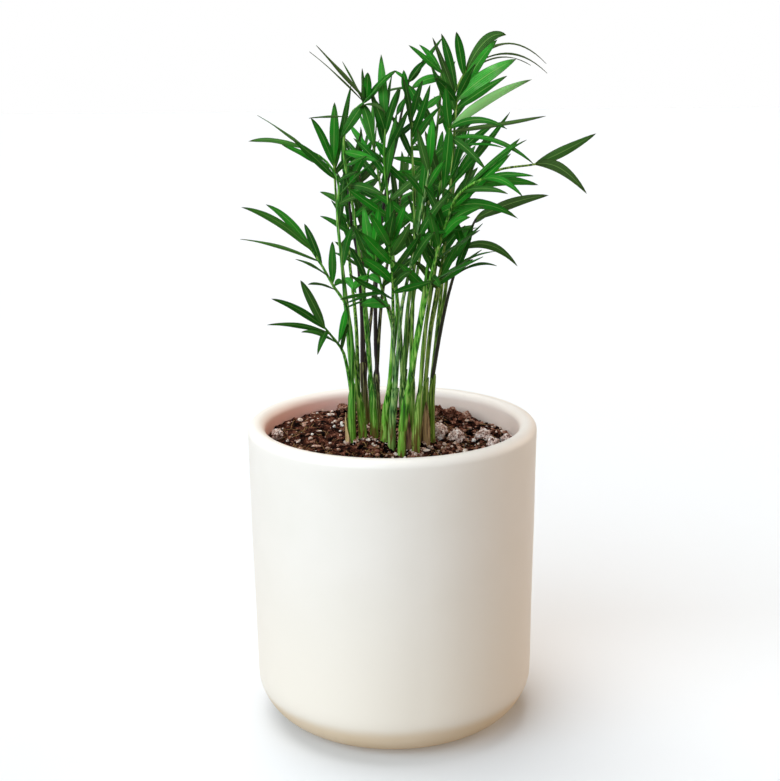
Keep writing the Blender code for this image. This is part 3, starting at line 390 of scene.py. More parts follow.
                (0.8, (80, 36, 372), 2.8, 0.18, 65), (0.9, (64, 10, 389), 6.4, 0.22, 10),
                (0.85, (37, 14, 391), 5.2), (0.65, (29, 20, 390), 5.2, 0.08),
                (0.6, (24, 14, 388), 3.8, 0.03), (0.4, (23, 18, 373), 4.2, 0.08, 30),
                (0.3, (52, 24, 363), 4.2), (0.1, (25, 24, 356), 4.2),
                (0.1, (47, 16, 343), 4.0),
            ),
        ),
        Frond(197, ((27, 2, 238), (33, 14, 284), (38, 26, 318)), 54, 5, 34, 4.4, (0.8, -0.4, 0.2)),
        Frond(
            201,
            (
                (27, -10, 227), (31, -14, 248), (35, -18, 264), (38, -21, 274), (40, -23, 280),
                (43, -25, 288), (46, -26, 294),
            ),
            46,
            reach=(
                (0.6, (69, -20, 267), 4.8, 0.18), (0.36, (57, -34, 275), 2.8, 0.07, 55),
                (0.22, (57, -30, 269), 2.8, 0.15, 55), (0.6, (60, -8, 276), 2.8, 0.04, 55),
                (1.0, (83, -42, 308), 5.6, 0.04, 10), (0.85, (27, -52, 264), 5.2, 0.04, 10),
                (0.95, (58, -6, 297), 4.0, 0.05, 20), (0.6, (32, -44, 299), 4.4, 0.03, 20),
                (0.3, (44, -34, 293), 4.2, 0.03, 20),
            ),
        ),
    )),
    "palm_12": Palm((-8, 13), ((-9, 14, 188), (-8.5, 16, 205)), 2.1, "#3A3A20", (
        Frond(
            205,
            (
                (-9, 17, 213), (-9, 19, 236), (-8, 21, 259), (-5, 22, 287), (0, 24, 315), (6, 25, 343),
                (11, 26, 364),
            ),
            62, 2, 18, 4.2, (0, -1, 0.2),
            reach=(
                (1.0, (30, 26, 388), 3.6, 0.04, 45), (1.0, (3, 34, 370), 3.2, 0.04, 45),
                (0.97, (23, 16, 340), 5.4, 0.04, 10), (0.95, (-3, 30, 358), 3.0, 0.05, 55),
                (0.85, (4, 18, 346), 4.0, 0.03, 30),
            ),
        ),
        Frond(197, ((-5, 22, 244), (3, 34, 284), (8, 54, 306)), 52, 5, 34, 4.4, (0.7, -0.5, 0.3)),
    )),
    "palm_13": Palm((7, -3), ((6, -2, 188), (7, 1, 205)), 2.4, "#4A7A2A", (
        Frond(
            205,
            (
                (8, 2, 222), (10, 4, 244), (15, 6, 272), (21, 8, 300), (24, 8, 322), (26, 10, 337),
                (28, 14, 354), (29, 18, 369),
            ),
            84,
            reach=(
                (1.0, (11, 16, 384), 4.2, 0.06, 30), (1.0, (17, 28, 384), 4.0, 0.07, 30),
                (0.97, (12, 6, 361), 5.4, 0.06, 10), (0.95, (37, 10, 375), 4.6, 0.02, 20),
                (0.9, (37, 6, 358), 4.8, 0.05), (0.85, (19, 2, 350), 4.4, 0.03),
                (0.4, (1, -6, 325), 4.8, 0.03, 15), (0.3, (1, -8, 317), 4.8, 0.03, 15),
                (0.5, (8, 0, 329), 3.8, 0.05, 25), (0.66, (34, 2, 349), 3.8),
                (0.6, (16, 6, 356), 4.2), (0.2, (33, 0, 316), 4.4, 0.03, 25),
                (0.1, (10, -6, 304), 4.6, 0.03, 20),
            ),
        ),
        Frond(199, ((12, 8, 240), (20, 26, 284), (27, 42, 314)), 52, 5, 34, 4.4, (0.7, -0.5, 0.3)),
        Frond(193, ((4, 8, 240), (-4, 32, 296), (-10, 52, 330)), 56, 5, 36, 4.6, (-0.7, -0.6, 0.3)),
    )),
}

# Dry leaf bases: the palm each one wraps, its top, the way it opens, and its colour
SHEATHS = {
    "dry_sheath_01": ("palm_01", 180.0, 200, "#B08A4E"),
    "dry_sheath_08": ("palm_08", 182.0, 250, "#7A3A1E"),
    "dry_sheath_10": ("palm_10", 188.0, 290, "#8C6A3A"),
}
SHEATH_SPACE = 0.35
SHEATH_FOOT = 150.0
SHEATH_ARC = 210
SHEATH_FLARE = 0.5
SHEATH_TONGUE = 12
SHEATH_LEAN = 1.6
SHEATH_TEAR = 0.3
SHEATH_THICKNESS = 0.35

# Pumice stones half sunk in the soil: centre across and along, and size
PUMICE = {
    "pumice_01": (26.0, 1.0, 5.2),
    "pumice_02": (37.0, -4.0, 4.0),
    "pumice_03": (52.0, 1.0, 4.4),
    "pumice_04": (57.5, -9.0, 3.4),
    "pumice_05": (66.0, 3.0, 3.2),
    "pumice_06": (-66.0, 2.0, 3.0),
}

# Edges that bend more than this are shaded sharp
SHARP = math.radians(50)

# The glaze: the height where it ends and how softly, its thickness and edge, and where it warms downwards
GLAZE_LINE = 18.0
GLAZE_FADE_BELOW = 6
GLAZE_FADE_ABOVE = 2
GLAZE_THICKNESS = 0.3
GLAZE_EDGE = 1.5
GLAZE_WARM_LOW = 20
GLAZE_WARM_HIGH = 150

# The pink inside the lip, painted shade and soil bounce light: the radius and heights that it fades over, and
# where it is deep, on the shaded left, and pale
INNER_LIP = 74.5
LIP_FADE = 2.5
SHADE_PINK_TOP = 177
SHADE_PINK_FULL = 169
SHADE_PINK_DEEP_X = -60
SHADE_PINK_PALE_X = 30

# The pot's round wall: its sides and rows, how far and how often it is uneven, and from what height fully
POT_SIDES = 160
POT_WALL_STEPS = 24
POT_UNEVENNESS = 0.25
UNEVEN_ROUND = 1.8
UNEVEN_UPWARDS = 45
UNEVEN_FROM = 20

# The soil's surface: its grid, and how far apart its heaps, clods, crumbs and grains are and rise
SOIL_GRID = 0.9
SOIL_SIDES = 260
SOIL_MARGIN = 2
HEAP_SPACING = 15
HEAP_RISE = 1.6
CLOD_SPACING = 9
CLOD_RISE = 3.6
CRUMB_SPACING = 3.4
CRUMB_RISE = 1.5
GRAIN_SPACING = 2.2
GRAIN_RISE = 0.5

# What lies on the soil
CRUMB_COUNT = 2300
CRUMB_SIZE = 2.3
FOOT_CRUMBS = 38
CHIP_COUNT = 110
CHIP_SIZES = (1.4, 3.6)
PERLITE_COUNT = 120
FIBRE_COUNT = 220
FIBRE_STEPS = 8
FIBRE_RADII = (0.1, 0.22)
STONE_LIFT = 0.5

# Clods of mix and small pale pebbles: centre across and along, and size
CLODS = (
    (-30, 58, 3.6), (-24, 60, 3.0), (27, 56, 4.2), (36, 50, 4.6), (44, 44, 3.8), (-8, 63, 2.8), (14, 60, 3.2),
)
PEBBLES = (
    (61, -14, 2.0), (64, -6, 1.8), (68, -2, 1.4), (-34, 12, 1.3), (-29, 20, 1.5), (47, -3, 1.6),
    (-60, -4, 1.1),
)

# A finer leaflet: the rows and columns of its sheet, its outline, and how it twists, curves and folds
BLADE_ROWS = 14
BLADE_COLUMNS = 7
BLADE_FOOT = 0.2
BLADE_LEAN = 0.76
BLADE_FULLNESS = 0.75
BLADE_TWIST = 30
BLADE_SICKLE = 0.12
BLADE_FOLD = 0.18
BLADE_RIPPLE = 0.12
BLADE_THICKNESS = 0.28
VEIN_WAVES = 24.0

# Canes and stalks: how far apart their rings are, their sides, and how a cane's last rings get thinner
CANE_SPACING = 4
CANE_SIDES = 14
CANE_LEAST = 1.2
CANE_END = (0.2, 0.6, 0.85)
STALK_SPACING = 5
STALK_SIDES = 8
PALE_FOOT_TOP = 194
PALE_FOOT_FULL = 166

# Green leaf bases: lengths and rises in millimetres, and arcs in degrees round the cane
BASE_LENGTHS = (24, 34)
BASE_RISES = (-3, 10)
BASE_BURIED = 8
BASE_ARC = 330
BASE_TONGUE = 6
BASE_LEAN = 1.5
BASE_SPACE = 0.2
TONGUE_SPACE = 0.3
BASE_THICKNESS = 0.3

# How far up a stalk its side of the cane is read
STALK_CLEAR = 12

# The sheet of a green or a dry leaf base: its rows and columns, and how far its edges stand off
WRAP_ROWS = 12
WRAP_COLUMNS = 12
WRAP_CURL = 0.35
Wrap = namedtuple("Wrap", "low top facing arc_low arc_top lean radius_low radius_top")

# Leaf colours from the darkest tone to the brightest, above and below; above, the palest stops at 0.9 and 1.0
# are painted highlight
LEAF_GREENS_AND_HIGHLIGHTS = ((0.0, "#013602"), (0.35, "#056605"), (0.7, "#1E961A"), (0.9, "#4CB242"), (1.0, "#94CE7C"))
UNDERSIDE_GREENS = ((0.0, "#1A6A18"), (0.5, "#348E30"), (1.0, "#80BE6E"))
LEAF_OLIVE = "#445A2C"
LEAF_SHEEN = 0.07

# Leaflets that reach this far from the clump's middle start to look old, and then are old
CLUMP_MIDDLE = 8.0
OLD_FROM = 66
OLD_BY = 92

# The photograph's camera, fitted to the pot: millimetres, radians and pixels
CAMERA_PLACE = (0.0, -802.47, 396.65)
CAMERA_PITCH = 0.2486
CAMERA_YAW = -0.0013
CAMERA_ROLL = -0.0095
CAMERA_FOCAL_PX = 1452.98
PHOTO_HEIGHT_PX = 781
SENSOR_WIDTH = 36.0

# The floor's side, in metres
FLOOR_SIZE = 12

# Soft lights: name, azimuth, height, strength, spread and colour
SOFTBOXES = (
    ("key_left_front", -41, 20, 3.35, 70, "#DEF2FF"),
    ("front_top", -12, 50, 0.36, 60, "#FFF4EA"),
    ("top_left_back", -144, 71, 2.27, 50, "#FFFCF7"),
    ("fill_right_back", 112, 12, 1.2, 50, "#FFEBD7"),
)

# The dome: its strength, and its colours at the sides, overhead and below the horizon
DOME_STRENGTH = 1.0
DOME_SIDE = "#F5E1D0"
DOME_TOP = "#101010"
DOME_BELOW = "#8F816D"

# Marks on each piece's points that its material reads, and settings that many nodes share
MARKS = ("across", "along", "tone", "age")
SMOOTH = {"interpolation_type": "SMOOTHSTEP"}
COLOUR_MIX = {"data_type": "RGBA"}

# Leaflets whose look the photo shows clearly: the tip's x and z in millimetres, the tone and the age
# Tones near 1 reach the painted highlight at the top of the leaf ramp
NOTED_LEAFLETS = (
    (67, 377, 0.9, 0.0), (58, 387, 0.72, 0.0), (74, 367, 1.02, 0.0), (61, 369, 0.35, 0.1),
    (64, 389, 0.35, 0.6), (88, 373, 0.3, 1.0), (88, 368, 0.3, 1.0), (80, 372, 0.3, 1.0),
    (82, 348, 0.3, 0.8), (114, 336, 0.5, 0.7), (108, 304, 0.4, 0.85), (83, 308, 0.3, 0.8),
    (-4, 380, 0.8, 0.0), (-41, 382, 0.3, 0.9), (-38, 385, 0.3, 0.8), (-25, 376, 0.4, 0.6),
    (-16, 253, 0.8, 0.0), (-29, 226, 0.55, 0.0), (-30, 354, 0.45, 0.0), (-73, 347, 0.4, 0.7),
    (-77, 334, 0.5, 0.5), (69, 267, 0.3, 0.6),
)
NOTED_WITHIN = 5.0

# Old purple-brown stalks: the palm, the frond's number, and how old they look
DARK_STALKS = (("palm_11", 2), ("palm_03", 0), ("palm_12", 0))
DARK_STALK_AGE = 0.9


# Colours and materials


def linear(text):
    """Turn an sRGB hex colour into Blender's linear RGBA."""
    values = []
    for start in (1, 3, 5):
        channel = int(text[start:start + 2], 16) / 255
        values.append(channel / 12.92 if channel <= 0.04045 else ((channel + 0.055) / 1.055) ** 2.4)
    return (*values, 1.0)


def mixed(one, other, share):
    """A hex colour between two others."""
    pairs = [(int(one[i:i + 2], 16), int(other[i:i + 2], 16)) for i in (1, 3, 5)]
    return "#" + "".join(f"{round(a + (b - a) * share):02X}" for a, b in pairs)


def per(size):
    """The texture scale that repeats a pattern every so many millimetres."""
    return 1 / (size * MM)


def fill(tree, node, inputs):
    """Fill a node's inputs with values, hex colours, other nodes' outputs, or nodes.

    A node stands for its first output in use.
    """
    for key, value in inputs.items():
        if isinstance(value, bpy.types.Node):
            value = next(socket for socket in value.outputs if socket.enabled)
        if isinstance(value, bpy.types.NodeSocket):
            tree.links.new(value, node.inputs[key])
        else:
            node.inputs[key].default_value = linear(value) if isinstance(value, str) else value


def add(tree, kind, settings=None, inputs=None, stops=()):
    """Add a shader node with its settings and inputs, and with stops if it is a colour ramp."""
    made = tree.nodes.new("ShaderNode" + kind)
    for key, value in (settings or {}).items():
        setattr(made, key, value)
    fill(tree, made, inputs or {})
    for number, (place, colour) in enumerate(stops):
        ramp = made.color_ramp.elements
        stop = ramp[number] if number < 2 else ramp.new(place)
        stop.position = place
        stop.color = linear(colour)
    return made


def new_material(name, roughness, ior=1.5):
    """A material with its Principled shader's even values, and its object coordinates."""
    made = bpy.data.materials.new(name)
    made.use_nodes = True
    tree = made.node_tree
    shader = tree.nodes["Principled BSDF"]
    fill(tree, shader, {"Roughness": roughness, "IOR": ior})
    place = add(tree, "TexCoord").outputs["Object"]
    return made, tree, shader, place


def glazed_stoneware():
    """Stoneware dipped in a satin white glaze that warms downwards, over bare peach clay at the foot.

    Inside the lip the glaze turns pink as painted shade and soil bounce light, deepest on the left where the
    inner wall is in shade.
    """
    made, tree, shader, place = new_material("satin_glazed_stoneware", 0.4)
    parts = add(tree, "SeparateXYZ", inputs={0: place})
    drift = add(tree, "TexNoise", inputs={"Vector": place, "Scale": per(30), "Detail": 2.0})
    lower = add(tree, "Math", {"operation": "MULTIPLY"}, {0: drift, 1: -5 * MM})
    height = add(tree, "Math", {"operation": "ADD"}, {0: lower, 1: parts.outputs["Z"]})
    bare_to = (GLAZE_LINE - GLAZE_FADE_BELOW) * MM
    glazed_from = (GLAZE_LINE + GLAZE_FADE_ABOVE) * MM
    glazed = add(tree, "MapRange", SMOOTH, {0: height, 1: bare_to, 2: glazed_from})
    flat = add(tree, "CombineXYZ", inputs={"X": parts.outputs["X"], "Y": parts.outputs["Y"]})
    out = add(tree, "VectorMath", {"operation": "LENGTH"}, {0: flat})
    # Painted shade: below the lip the glaze turns pink, like shade lit by the soil's bounce, most on the
    # shaded left
    inside = add(tree, "MapRange", SMOOTH,
                 {0: out, 1: (INNER_LIP + LIP_FADE) * MM, 2: INNER_LIP * MM})
    depth = add(tree, "MapRange", SMOOTH, {0: parts.outputs["Z"], 1: SHADE_PINK_TOP * MM, 2: SHADE_PINK_FULL * MM})
    painted_shade_share = add(tree, "Math", {"operation": "MULTIPLY"}, {0: inside, 1: depth})
    white = add(tree, "ValToRGB", inputs={0: drift}, stops=((0.3, "#F5EEE6"), (0.7, "#F8F1EA")))
    upward = add(tree, "MapRange", SMOOTH,
                 {0: parts.outputs["Z"], 1: GLAZE_WARM_LOW * MM, 2: GLAZE_WARM_HIGH * MM})
    warm = add(tree, "Mix", COLOUR_MIX, {0: upward, 6: "#F7EDE0", 7: white})
    rightward = add(tree, "MapRange", SMOOTH,
                    {0: parts.outputs["X"], 1: SHADE_PINK_DEEP_X * MM, 2: SHADE_PINK_PALE_X * MM})
    shaded_pink = add(tree, "Mix", COLOUR_MIX, {0: rightward, 6: "#FFC6BA", 7: "#FFEADD"})
    glaze = add(tree, "Mix", COLOUR_MIX, {0: painted_shade_share, 6: warm, 7: shaded_pink})
    clay = add(tree, "ValToRGB", inputs={0: drift}, stops=((0.3, "#EAD5B8"), (0.7, "#F0DEC6")))
    colour = add(tree, "Mix", COLOUR_MIX, {0: glazed, 6: clay, 7: glaze})
    rough = add(tree, "MapRange", inputs={0: glazed, 3: 0.8, 4: 0.4})
    peel = add(tree, "TexNoise", inputs={"Vector": place, "Scale": per(5), "Detail": 3.0, "Roughness": 0.6})
    bump = add(tree, "Bump", inputs={"Height": peel, "Distance": 0.12 * MM, "Strength": 0.5})
    fill(tree, shader, {"Base Color": colour, "Roughness": rough, "Normal": bump})
    return made


def leaf_blade(name, stops, rough, vein_depth):
    """A living leaf blade: barely glossy, with a faint midrib, fine veins along it, and a brown rim and tip.

    The marks give each leaf its own tone and turn the oldest ones olive. Soft patches of olive dull the rest.
    The palest tones of the upper side's ramp are painted highlight.
    """
    made, tree, shader, place = new_material(name, rough, ior=1.45)
    across_mark, along_mark, tone_mark, age_mark = [
        add(tree, "Attribute", {"attribute_name": mark}).outputs["Fac"] for mark in MARKS]
    mottle = add(tree, "TexNoise", inputs={"Vector": place, "Scale": per(9), "Detail": 3.0})
    shade = add(tree, "Math", {"operation": "MULTIPLY_ADD"}, {0: mottle, 1: 0.3, 2: tone_mark})
    shade = add(tree, "Math", {"operation": "SUBTRACT"}, {0: shade, 1: 0.15})
    body = add(tree, "ValToRGB", inputs={0: shade}, stops=stops)
    patch = add(tree, "TexNoise", inputs={"Vector": place, "Scale": per(16), "Detail": 2.0})
    dulled = add(tree, "MapRange", SMOOTH, {0: patch, 1: 0.52, 2: 0.72, 3: 0.0, 4: 0.4})
    older = add(tree, "Math", {"operation": "MAXIMUM"}, {0: age_mark, 1: dulled})
    veins = add(tree, "Math", {"operation": "MULTIPLY"}, {0: across_mark, 1: VEIN_WAVES})
    ridges = add(tree, "Math", {"operation": "SINE"}, {0: veins})
    crest = add(tree, "MapRange", SMOOTH, {0: ridges, 1: 0.2, 2: 1.0, 3: 0.0, 4: 0.16})
    off_rib = add(tree, "Math", {"operation": "ABSOLUTE"}, {0: across_mark})
    rib = add(tree, "MapRange", SMOOTH, {0: off_rib, 1: 0.12, 2: 0.02, 3: 0.0, 4: 0.35})
    foot = add(tree, "MapRange", SMOOTH, {0: along_mark, 1: 0.12, 2: 0.0, 3: 0.0, 4: 0.4})
    rim = add(tree, "MapRange", SMOOTH, {0: off_rib, 1: 0.78, 2: 1.0, 3: 0.0, 4: 0.45})
    tip = add(tree, "MapRange", SMOOTH, {0: along_mark, 1: 0.82, 2: 1.0, 3: 0.0, 4: 0.75})
    worn = add(tree, "Math", {"operation": "MAXIMUM"}, {0: rim, 1: tip})
    layers = ((older, LEAF_OLIVE), (crest, "#8CC06C"), (rib, "#9CC868"), (foot, "#567A20"), (worn, "#35351A"))
    for mask, layer in layers:
        body = add(tree, "Mix", COLOUR_MIX, {0: mask, 6: body, 7: layer})
    bump = add(tree, "Bump", inputs={"Height": ridges, "Distance": vein_depth * MM, "Strength": 0.7})
    fill(tree, shader, {
        "Base Color": body, "Normal": bump, "Specular IOR Level": LEAF_SHEEN, "Subsurface Weight": 0.12,
        "Subsurface Radius": (0.05 * MM, 0.6 * MM, 0.03 * MM), "Subsurface Scale": 1.0,
    })
    return made


def living_stem(name, colour):
    """Young cane and leaf stalk: a waxy skin, streaked along its length, pale and scarred near the soil.

    The age mark turns an old stalk purple-brown.
    """
    made, tree, shader, place = new_material(name, 0.42, ior=1.45)
    stretched = add(tree, "Mapping", inputs={"Vector": place, "Scale": (per(0.9), per(0.9), per(60))})
    streak = add(tree, "TexNoise", inputs={"Vector": stretched, "Scale": 1.0, "Detail": 2.0})
    body = add(tree, "ValToRGB", inputs={0: streak}, stops=(
        (0.36, mixed(colour, "#041A04", 0.72)), (0.5, colour), (0.64, mixed(colour, "#D2E08C", 0.55))))
    age_mark = add(tree, "Attribute", {"attribute_name": "age"}).outputs["Fac"]
    height = add(tree, "SeparateXYZ", inputs={0: place}).outputs["Z"]
    low = add(tree, "MapRange", SMOOTH,
              {0: height, 1: PALE_FOOT_TOP * MM, 2: PALE_FOOT_FULL * MM, 3: 0.0, 4: 1.0})
    paler = add(tree, "Math", {"operation": "MULTIPLY"}, {0: low, 1: 0.3})
    patch = add(tree, "Mapping", inputs={"Vector": place, "Scale": (per(1.8), per(1.8), per(12))})
    scar = add(tree, "TexNoise", inputs={"Vector": patch, "Scale": 1.0, "Detail": 4.0})
    worn = add(tree, "MapRange", inputs={0: scar, 1: 0.51, 2: 0.6, 3: 0.0, 4: 0.9})
    brown = add(tree, "Math", {"operation": "MULTIPLY"}, {0: worn, 1: low})
    for mask, layer in ((age_mark, "#2E2228"), (paler, "#8CA63A"), (brown, "#5E3A1E")):
        body = add(tree, "Mix", COLOUR_MIX, {0: mask, 6: body, 7: layer})
    bump = add(tree, "Bump", inputs={"Height": streak, "Distance": 0.3 * MM, "Strength": 0.7})
    fill(tree, shader, {"Base Color": body, "Normal": bump, "Specular IOR Level": 0.15})
    return made


def dry_fibre(name, pale, dark):
    """A dead leaf base or a coconut fibre: papery, matt and streaked along its length."""
    made, tree, shader, place = new_material(name, 0.8)
    stretched = add(tree, "Mapping", inputs={"Vector": place, "Scale": (per(0.7), per(0.7), per(14))})
    streak = add(tree, "TexNoise", inputs={"Vector": stretched, "Scale": 1.0, "Detail": 3.0})
    body = add(tree, "ValToRGB", inputs={0: streak}, stops=((0.38, dark), (0.6, pale)))
    bump = add(tree, "Bump", inputs={"Height": streak, "Distance": 0.3 * MM, "Strength": 0.8})
    fill(tree, shader, {"Base Color": body, "Normal": bump})
    return made


def potting_mix():
    """Moist peat and bark, darker in the hollows of its bump and paler on its rises as painted shade and
    light: nearly black hollows, red-brown crumbs with pale dusty ones, and no shine.
    """
    made, tree, shader, place = new_material("moist_potting_mix", 0.92)
    crumbs = add(tree, "TexVoronoi", inputs={"Vector": place, "Scale": per(1.6), "Randomness": 1.0})
    drift = add(tree, "TexNoise", inputs={"Vector": place, "Scale": per(5), "Detail": 6.0, "Roughness": 0.8})
    tone_mark = add(tree, "Attribute", {"attribute_name": "tone"}).outputs["Fac"]
    # Painted shade and light: the noise that colours the mix also raises its bump, so hollows are near black
    # and rises pale
    shade = add(tree, "Math", {"operation": "ADD"}, {0: drift, 1: tone_mark})
    body = add(tree, "ValToRGB", inputs={0: shade}, stops=(
        (0.43, "#060202"), (0.5, "#341810"), (0.59, "#6E4030"), (0.7, "#B4846E"), (0.82, "#F0DED0")))
    grain = add(tree, "Math", {"operation": "SUBTRACT"}, {0: drift, 1: crumbs.outputs["Distance"]})
    bump = add(tree, "Bump", inputs={"Height": grain, "Distance": 1.2 * MM, "Strength": 0.9})
    fill(tree, shader, {"Base Color": body, "Normal": bump, "Specular IOR Level": 0.05})
    return made


def volcanic_pumice():
    """Frothy volcanic stone: pale pink-white walls with brown dust, darkened to nearly black in the pores as
    painted shade.
    """
    made, tree, shader, place = new_material("dusty_volcanic_pumice", 0.95)
    dust = add(tree, "TexNoise",
               inputs={"Vector": place, "Scale": per(2.2), "Detail": 5.0, "Roughness": 0.75})
    # Painted shade: the rock's tone mark darkens the pores
    painted_pore_shade = add(tree, "Attribute", {"attribute_name": "tone"}).outputs["Fac"]
    shade = add(tree, "Math", {"operation": "SUBTRACT"}, {0: dust, 1: painted_pore_shade})
    body = add(tree, "ValToRGB", inputs={0: shade}, stops=(
        (0.3, "#200C06"), (0.39, "#6E4434"), (0.48, "#D6B4A6"), (0.6, "#FFF3EC")))
    bump = add(tree, "Bump", inputs={"Height": dust, "Distance": 1.1 * MM, "Strength": 1.0})
    fill(tree, shader, {"Base Color": body, "Normal": bump})
    return made


def expanded_perlite():
    """Popped volcanic glass: chalk-white grains, some of them dusty."""
    made, tree, shader, place = new_material("expanded_perlite", 0.85)
    grain = add(tree, "TexNoise", inputs={"Vector": place, "Scale": per(1.2), "Detail": 3.0})
    tone_mark = add(tree, "Attribute", {"attribute_name": "tone"}).outputs["Fac"]
    shade = add(tree, "Math", {"operation": "MULTIPLY"}, {0: grain, 1: tone_mark})
    body = add(tree, "ValToRGB", inputs={0: shade}, stops=((0.2, "#6E4E40"), (0.5, "#F6EEE6")))
    fill(tree, shader, {"Base Color": body})
    return made


def white_sweep():
    """Matt studio paper, pale enough to look white outside the shadow."""
    made, tree, shader, _ = new_material("matt_white_paper", 0.9)
    fill(tree, shader, {"Base Color": "#ECEEF1"})
    return made


# Layout


def inside_radius(height):
    """Radius of the pot's inner wall at a height above the inner rounding."""
    share = (height - POT_ROUNDING) / (POT_HEIGHT - POT_ROUNDING)
    return POT_RADIUS_LOW + (POT_RADIUS_TOP - POT_RADIUS_LOW) * share - POT_WALL


def soil_height(x, y):
    """Height of the soil's smooth surface: a low mound on a slight slope."""
    edge = inside_radius(SOIL_EDGE_HEIGHT)
    mound = SOIL_MOUND * (1 - (x * x + y * y) / (edge * edge))
    return SOIL_EDGE_HEIGHT + mound + SOIL_TILT_X * x + SOIL_TILT_Y * y


def round_point(radius, angle, centre=(0, 0)):
    """The two coordinates of a point on a circle, at an angle in radians."""
    return centre[0] + radius * math.cos(angle), centre[1] + radius * math.sin(angle)


def arc(centre_r, centre_z, radius, start, end, steps):
    """Points on an arc in the outline's plane, with angles in degrees from the radius axis."""
    points = []
    for step in range(steps + 1):
        angle = math.radians(start + (end - start) * step / steps)
        points.append(round_point(radius, angle, (centre_r, centre_z)))
    return points


def even_points(line, spacing):
    """Points about the given spacing apart along a finely divided line."""
    lengths = [0.0]
    for a, b in zip(line, line[1:]):
        lengths.append(lengths[-1] + (b - a).length)
    count = max(3, round(lengths[-1] / spacing))
    points = []
    span = 0
    for step in range(count + 1):
        target = lengths[-1] * step / count
        while span < len(line) - 2 and lengths[span + 1] < target:
            span += 1
        share = (target - lengths[span]) / (lengths[span + 1] - lengths[span])
        points.append(line[span].lerp(line[span + 1], min(1.0, share)))
    return points


def smooth_line(corners, spacing, fine_steps=10):
    """A Catmull-Rom curve through the corners, divided evenly."""
    corners = [Vector(corner) for corner in corners]
    ends = [corners[0] * 2 - corners[1]] + corners + [corners[-1] * 2 - corners[-2]]
    fine = []
    for a, b, c, d in zip(ends, ends[1:], ends[2:], ends[3:]):
        for step in range(fine_steps):
            t = step / fine_steps
            square = a * 2 - b * 5 + c * 4 - d
            cube = b * 3 - a - c * 3 + d
            fine.append((b * 2 + (c - a) * t + square * t ** 2 + cube * t ** 3) * 0.5)
    fine.append(corners[-1])
    return even_points(fine, spacing)


def line_length(line):
    """A line's length in millimetres."""
    return sum((b - a).length for a, b in zip(line, line[1:]))


def point_along(line, distance):
    """The point and the direction at a distance from the line's start."""
    for a, b in zip(line, line[1:]):
        step = (b - a).length
        if distance <= step:
            return a.lerp(b, distance / step), (b - a).normalized()
        distance -= step
    return line[-1].copy(), (line[-1] - line[-2]).normalized()


def point_at_height(line, height):
    """The point where a rising line reaches a height."""
    for a, b in zip(line, line[1:]):
        if a.z <= height <= b.z:
            return a.lerp(b, (height - a.z) / (b.z - a.z))
    return line[-1].copy()


def stem_line(palm):
    """A stem's centre line: upright in the soil, then along its own points."""
    above = [(*palm.foot, STEM_UPRIGHT), (*palm.foot, SOIL_SURFACE), *palm.stem]
    return [Vector((*palm.foot, STEM_FOOT))] + smooth_line(above, TUBE_SPACING)


def stalk_line(palm, frond, spacing):
    """A frond's centre line: its root inside the stem, then its stalk and rib."""
    stem = stem_line(palm)
    root = point_at_height(stem, frond.leaves_at - STALK_ROOT)
    leave = point_at_height(stem, frond.leaves_at)
    return smooth_line([root, leave, *frond.path], spacing)


def taper(line, start, end):
    """Radii that go evenly from the start's to the end's."""
    return [start + (end - start) * i / (len(line) - 1) for i in range(len(line))]


def across(direction, up):
    """The side direction of a blade whose face looks along up."""
    side = direction.cross(up)
    if side.length < NEARLY_PARALLEL:
        side = direction.cross(Vector((1, 0, 0.2)))
    return side.normalized()


def reach_leaflet(reach, line, rib):
    """A leaflet with its own tip, its middle raised above a straight line by its bow."""
    root, _ = point_along(line, line_length(line) - rib * (1 - reach.place))
    tip = Vector(reach.tip)
    direction = (tip - root).normalized()
    face = direction.cross(FRONT).cross(direction).normalized()
    up = Matrix.Rotation(math.radians(reach.turn), 3, direction) @ face
    if up.z < 0:
        up = Matrix.Rotation(math.radians(-reach.turn), 3, direction) @ face
    control = root.lerp(tip, 0.5) + UP * reach.bow * (tip - root).length * 2
    stations = ARCHED_STATIONS if reach.bow >= ARCHED_BOW else BLADE_STATIONS
    return Leaflet(root, control, tip, reach.width, up, stations)


def rule_leaflets(frond, line, draw):
    """Leaflets in pairs along the rib: wide apart at its foot, close to it at its tip."""
    total = line_length(line)
    leaflets = []
    for pair in range(frond.pairs):
        place = (pair + PAIR_START) / (frond.pairs - 1 + PAIR_START)
        spread = PAIR_ANGLE_FOOT + (PAIR_ANGLE_TIP - PAIR_ANGLE_FOOT) * place
        swell = math.sin(math.pi * (SWELL_START + SWELL_SPAN * place))
        for side in (-1, 1):
            share = min(1.0, place + side * PAIR_SHIFT / frond.pairs)
            root, direction = point_along(line, total - frond.rib * (1 - share))
            angle = math.radians(spread + draw.uniform(-PAIR_ANGLE_VARIES, PAIR_ANGLE_VARIES))
            length = frond.length * (PAIR_SHORTEST + PAIR_SWELL * swell) * draw.uniform(*PAIR_LENGTH_VARIES)
            sideways = across(direction, Vector(frond.face))
            face = sideways.cross(direction).normalized()
            way = direction * math.cos(angle) + sideways * side * math.sin(angle)
            drop = UP * frond.droop * length * draw.uniform(*PAIR_DROOP_VARIES)
            tip = root + way * length + face * TIP_LIFT * length - drop
            control = root + way * length / 2 + face * MIDDLE_LIFT * length
            turn = math.radians(draw.uniform(-PAIR_ROLL_VARIES, PAIR_ROLL_VARIES))
            up = Matrix.Rotation(turn, 3, (tip - root).normalized()) @ face
            width = frond.width * draw.uniform(*PAIR_WIDTH_VARIES)
            leaflets.append(Leaflet(root, control, tip, width, up, BLADE_STATIONS))
    return leaflets


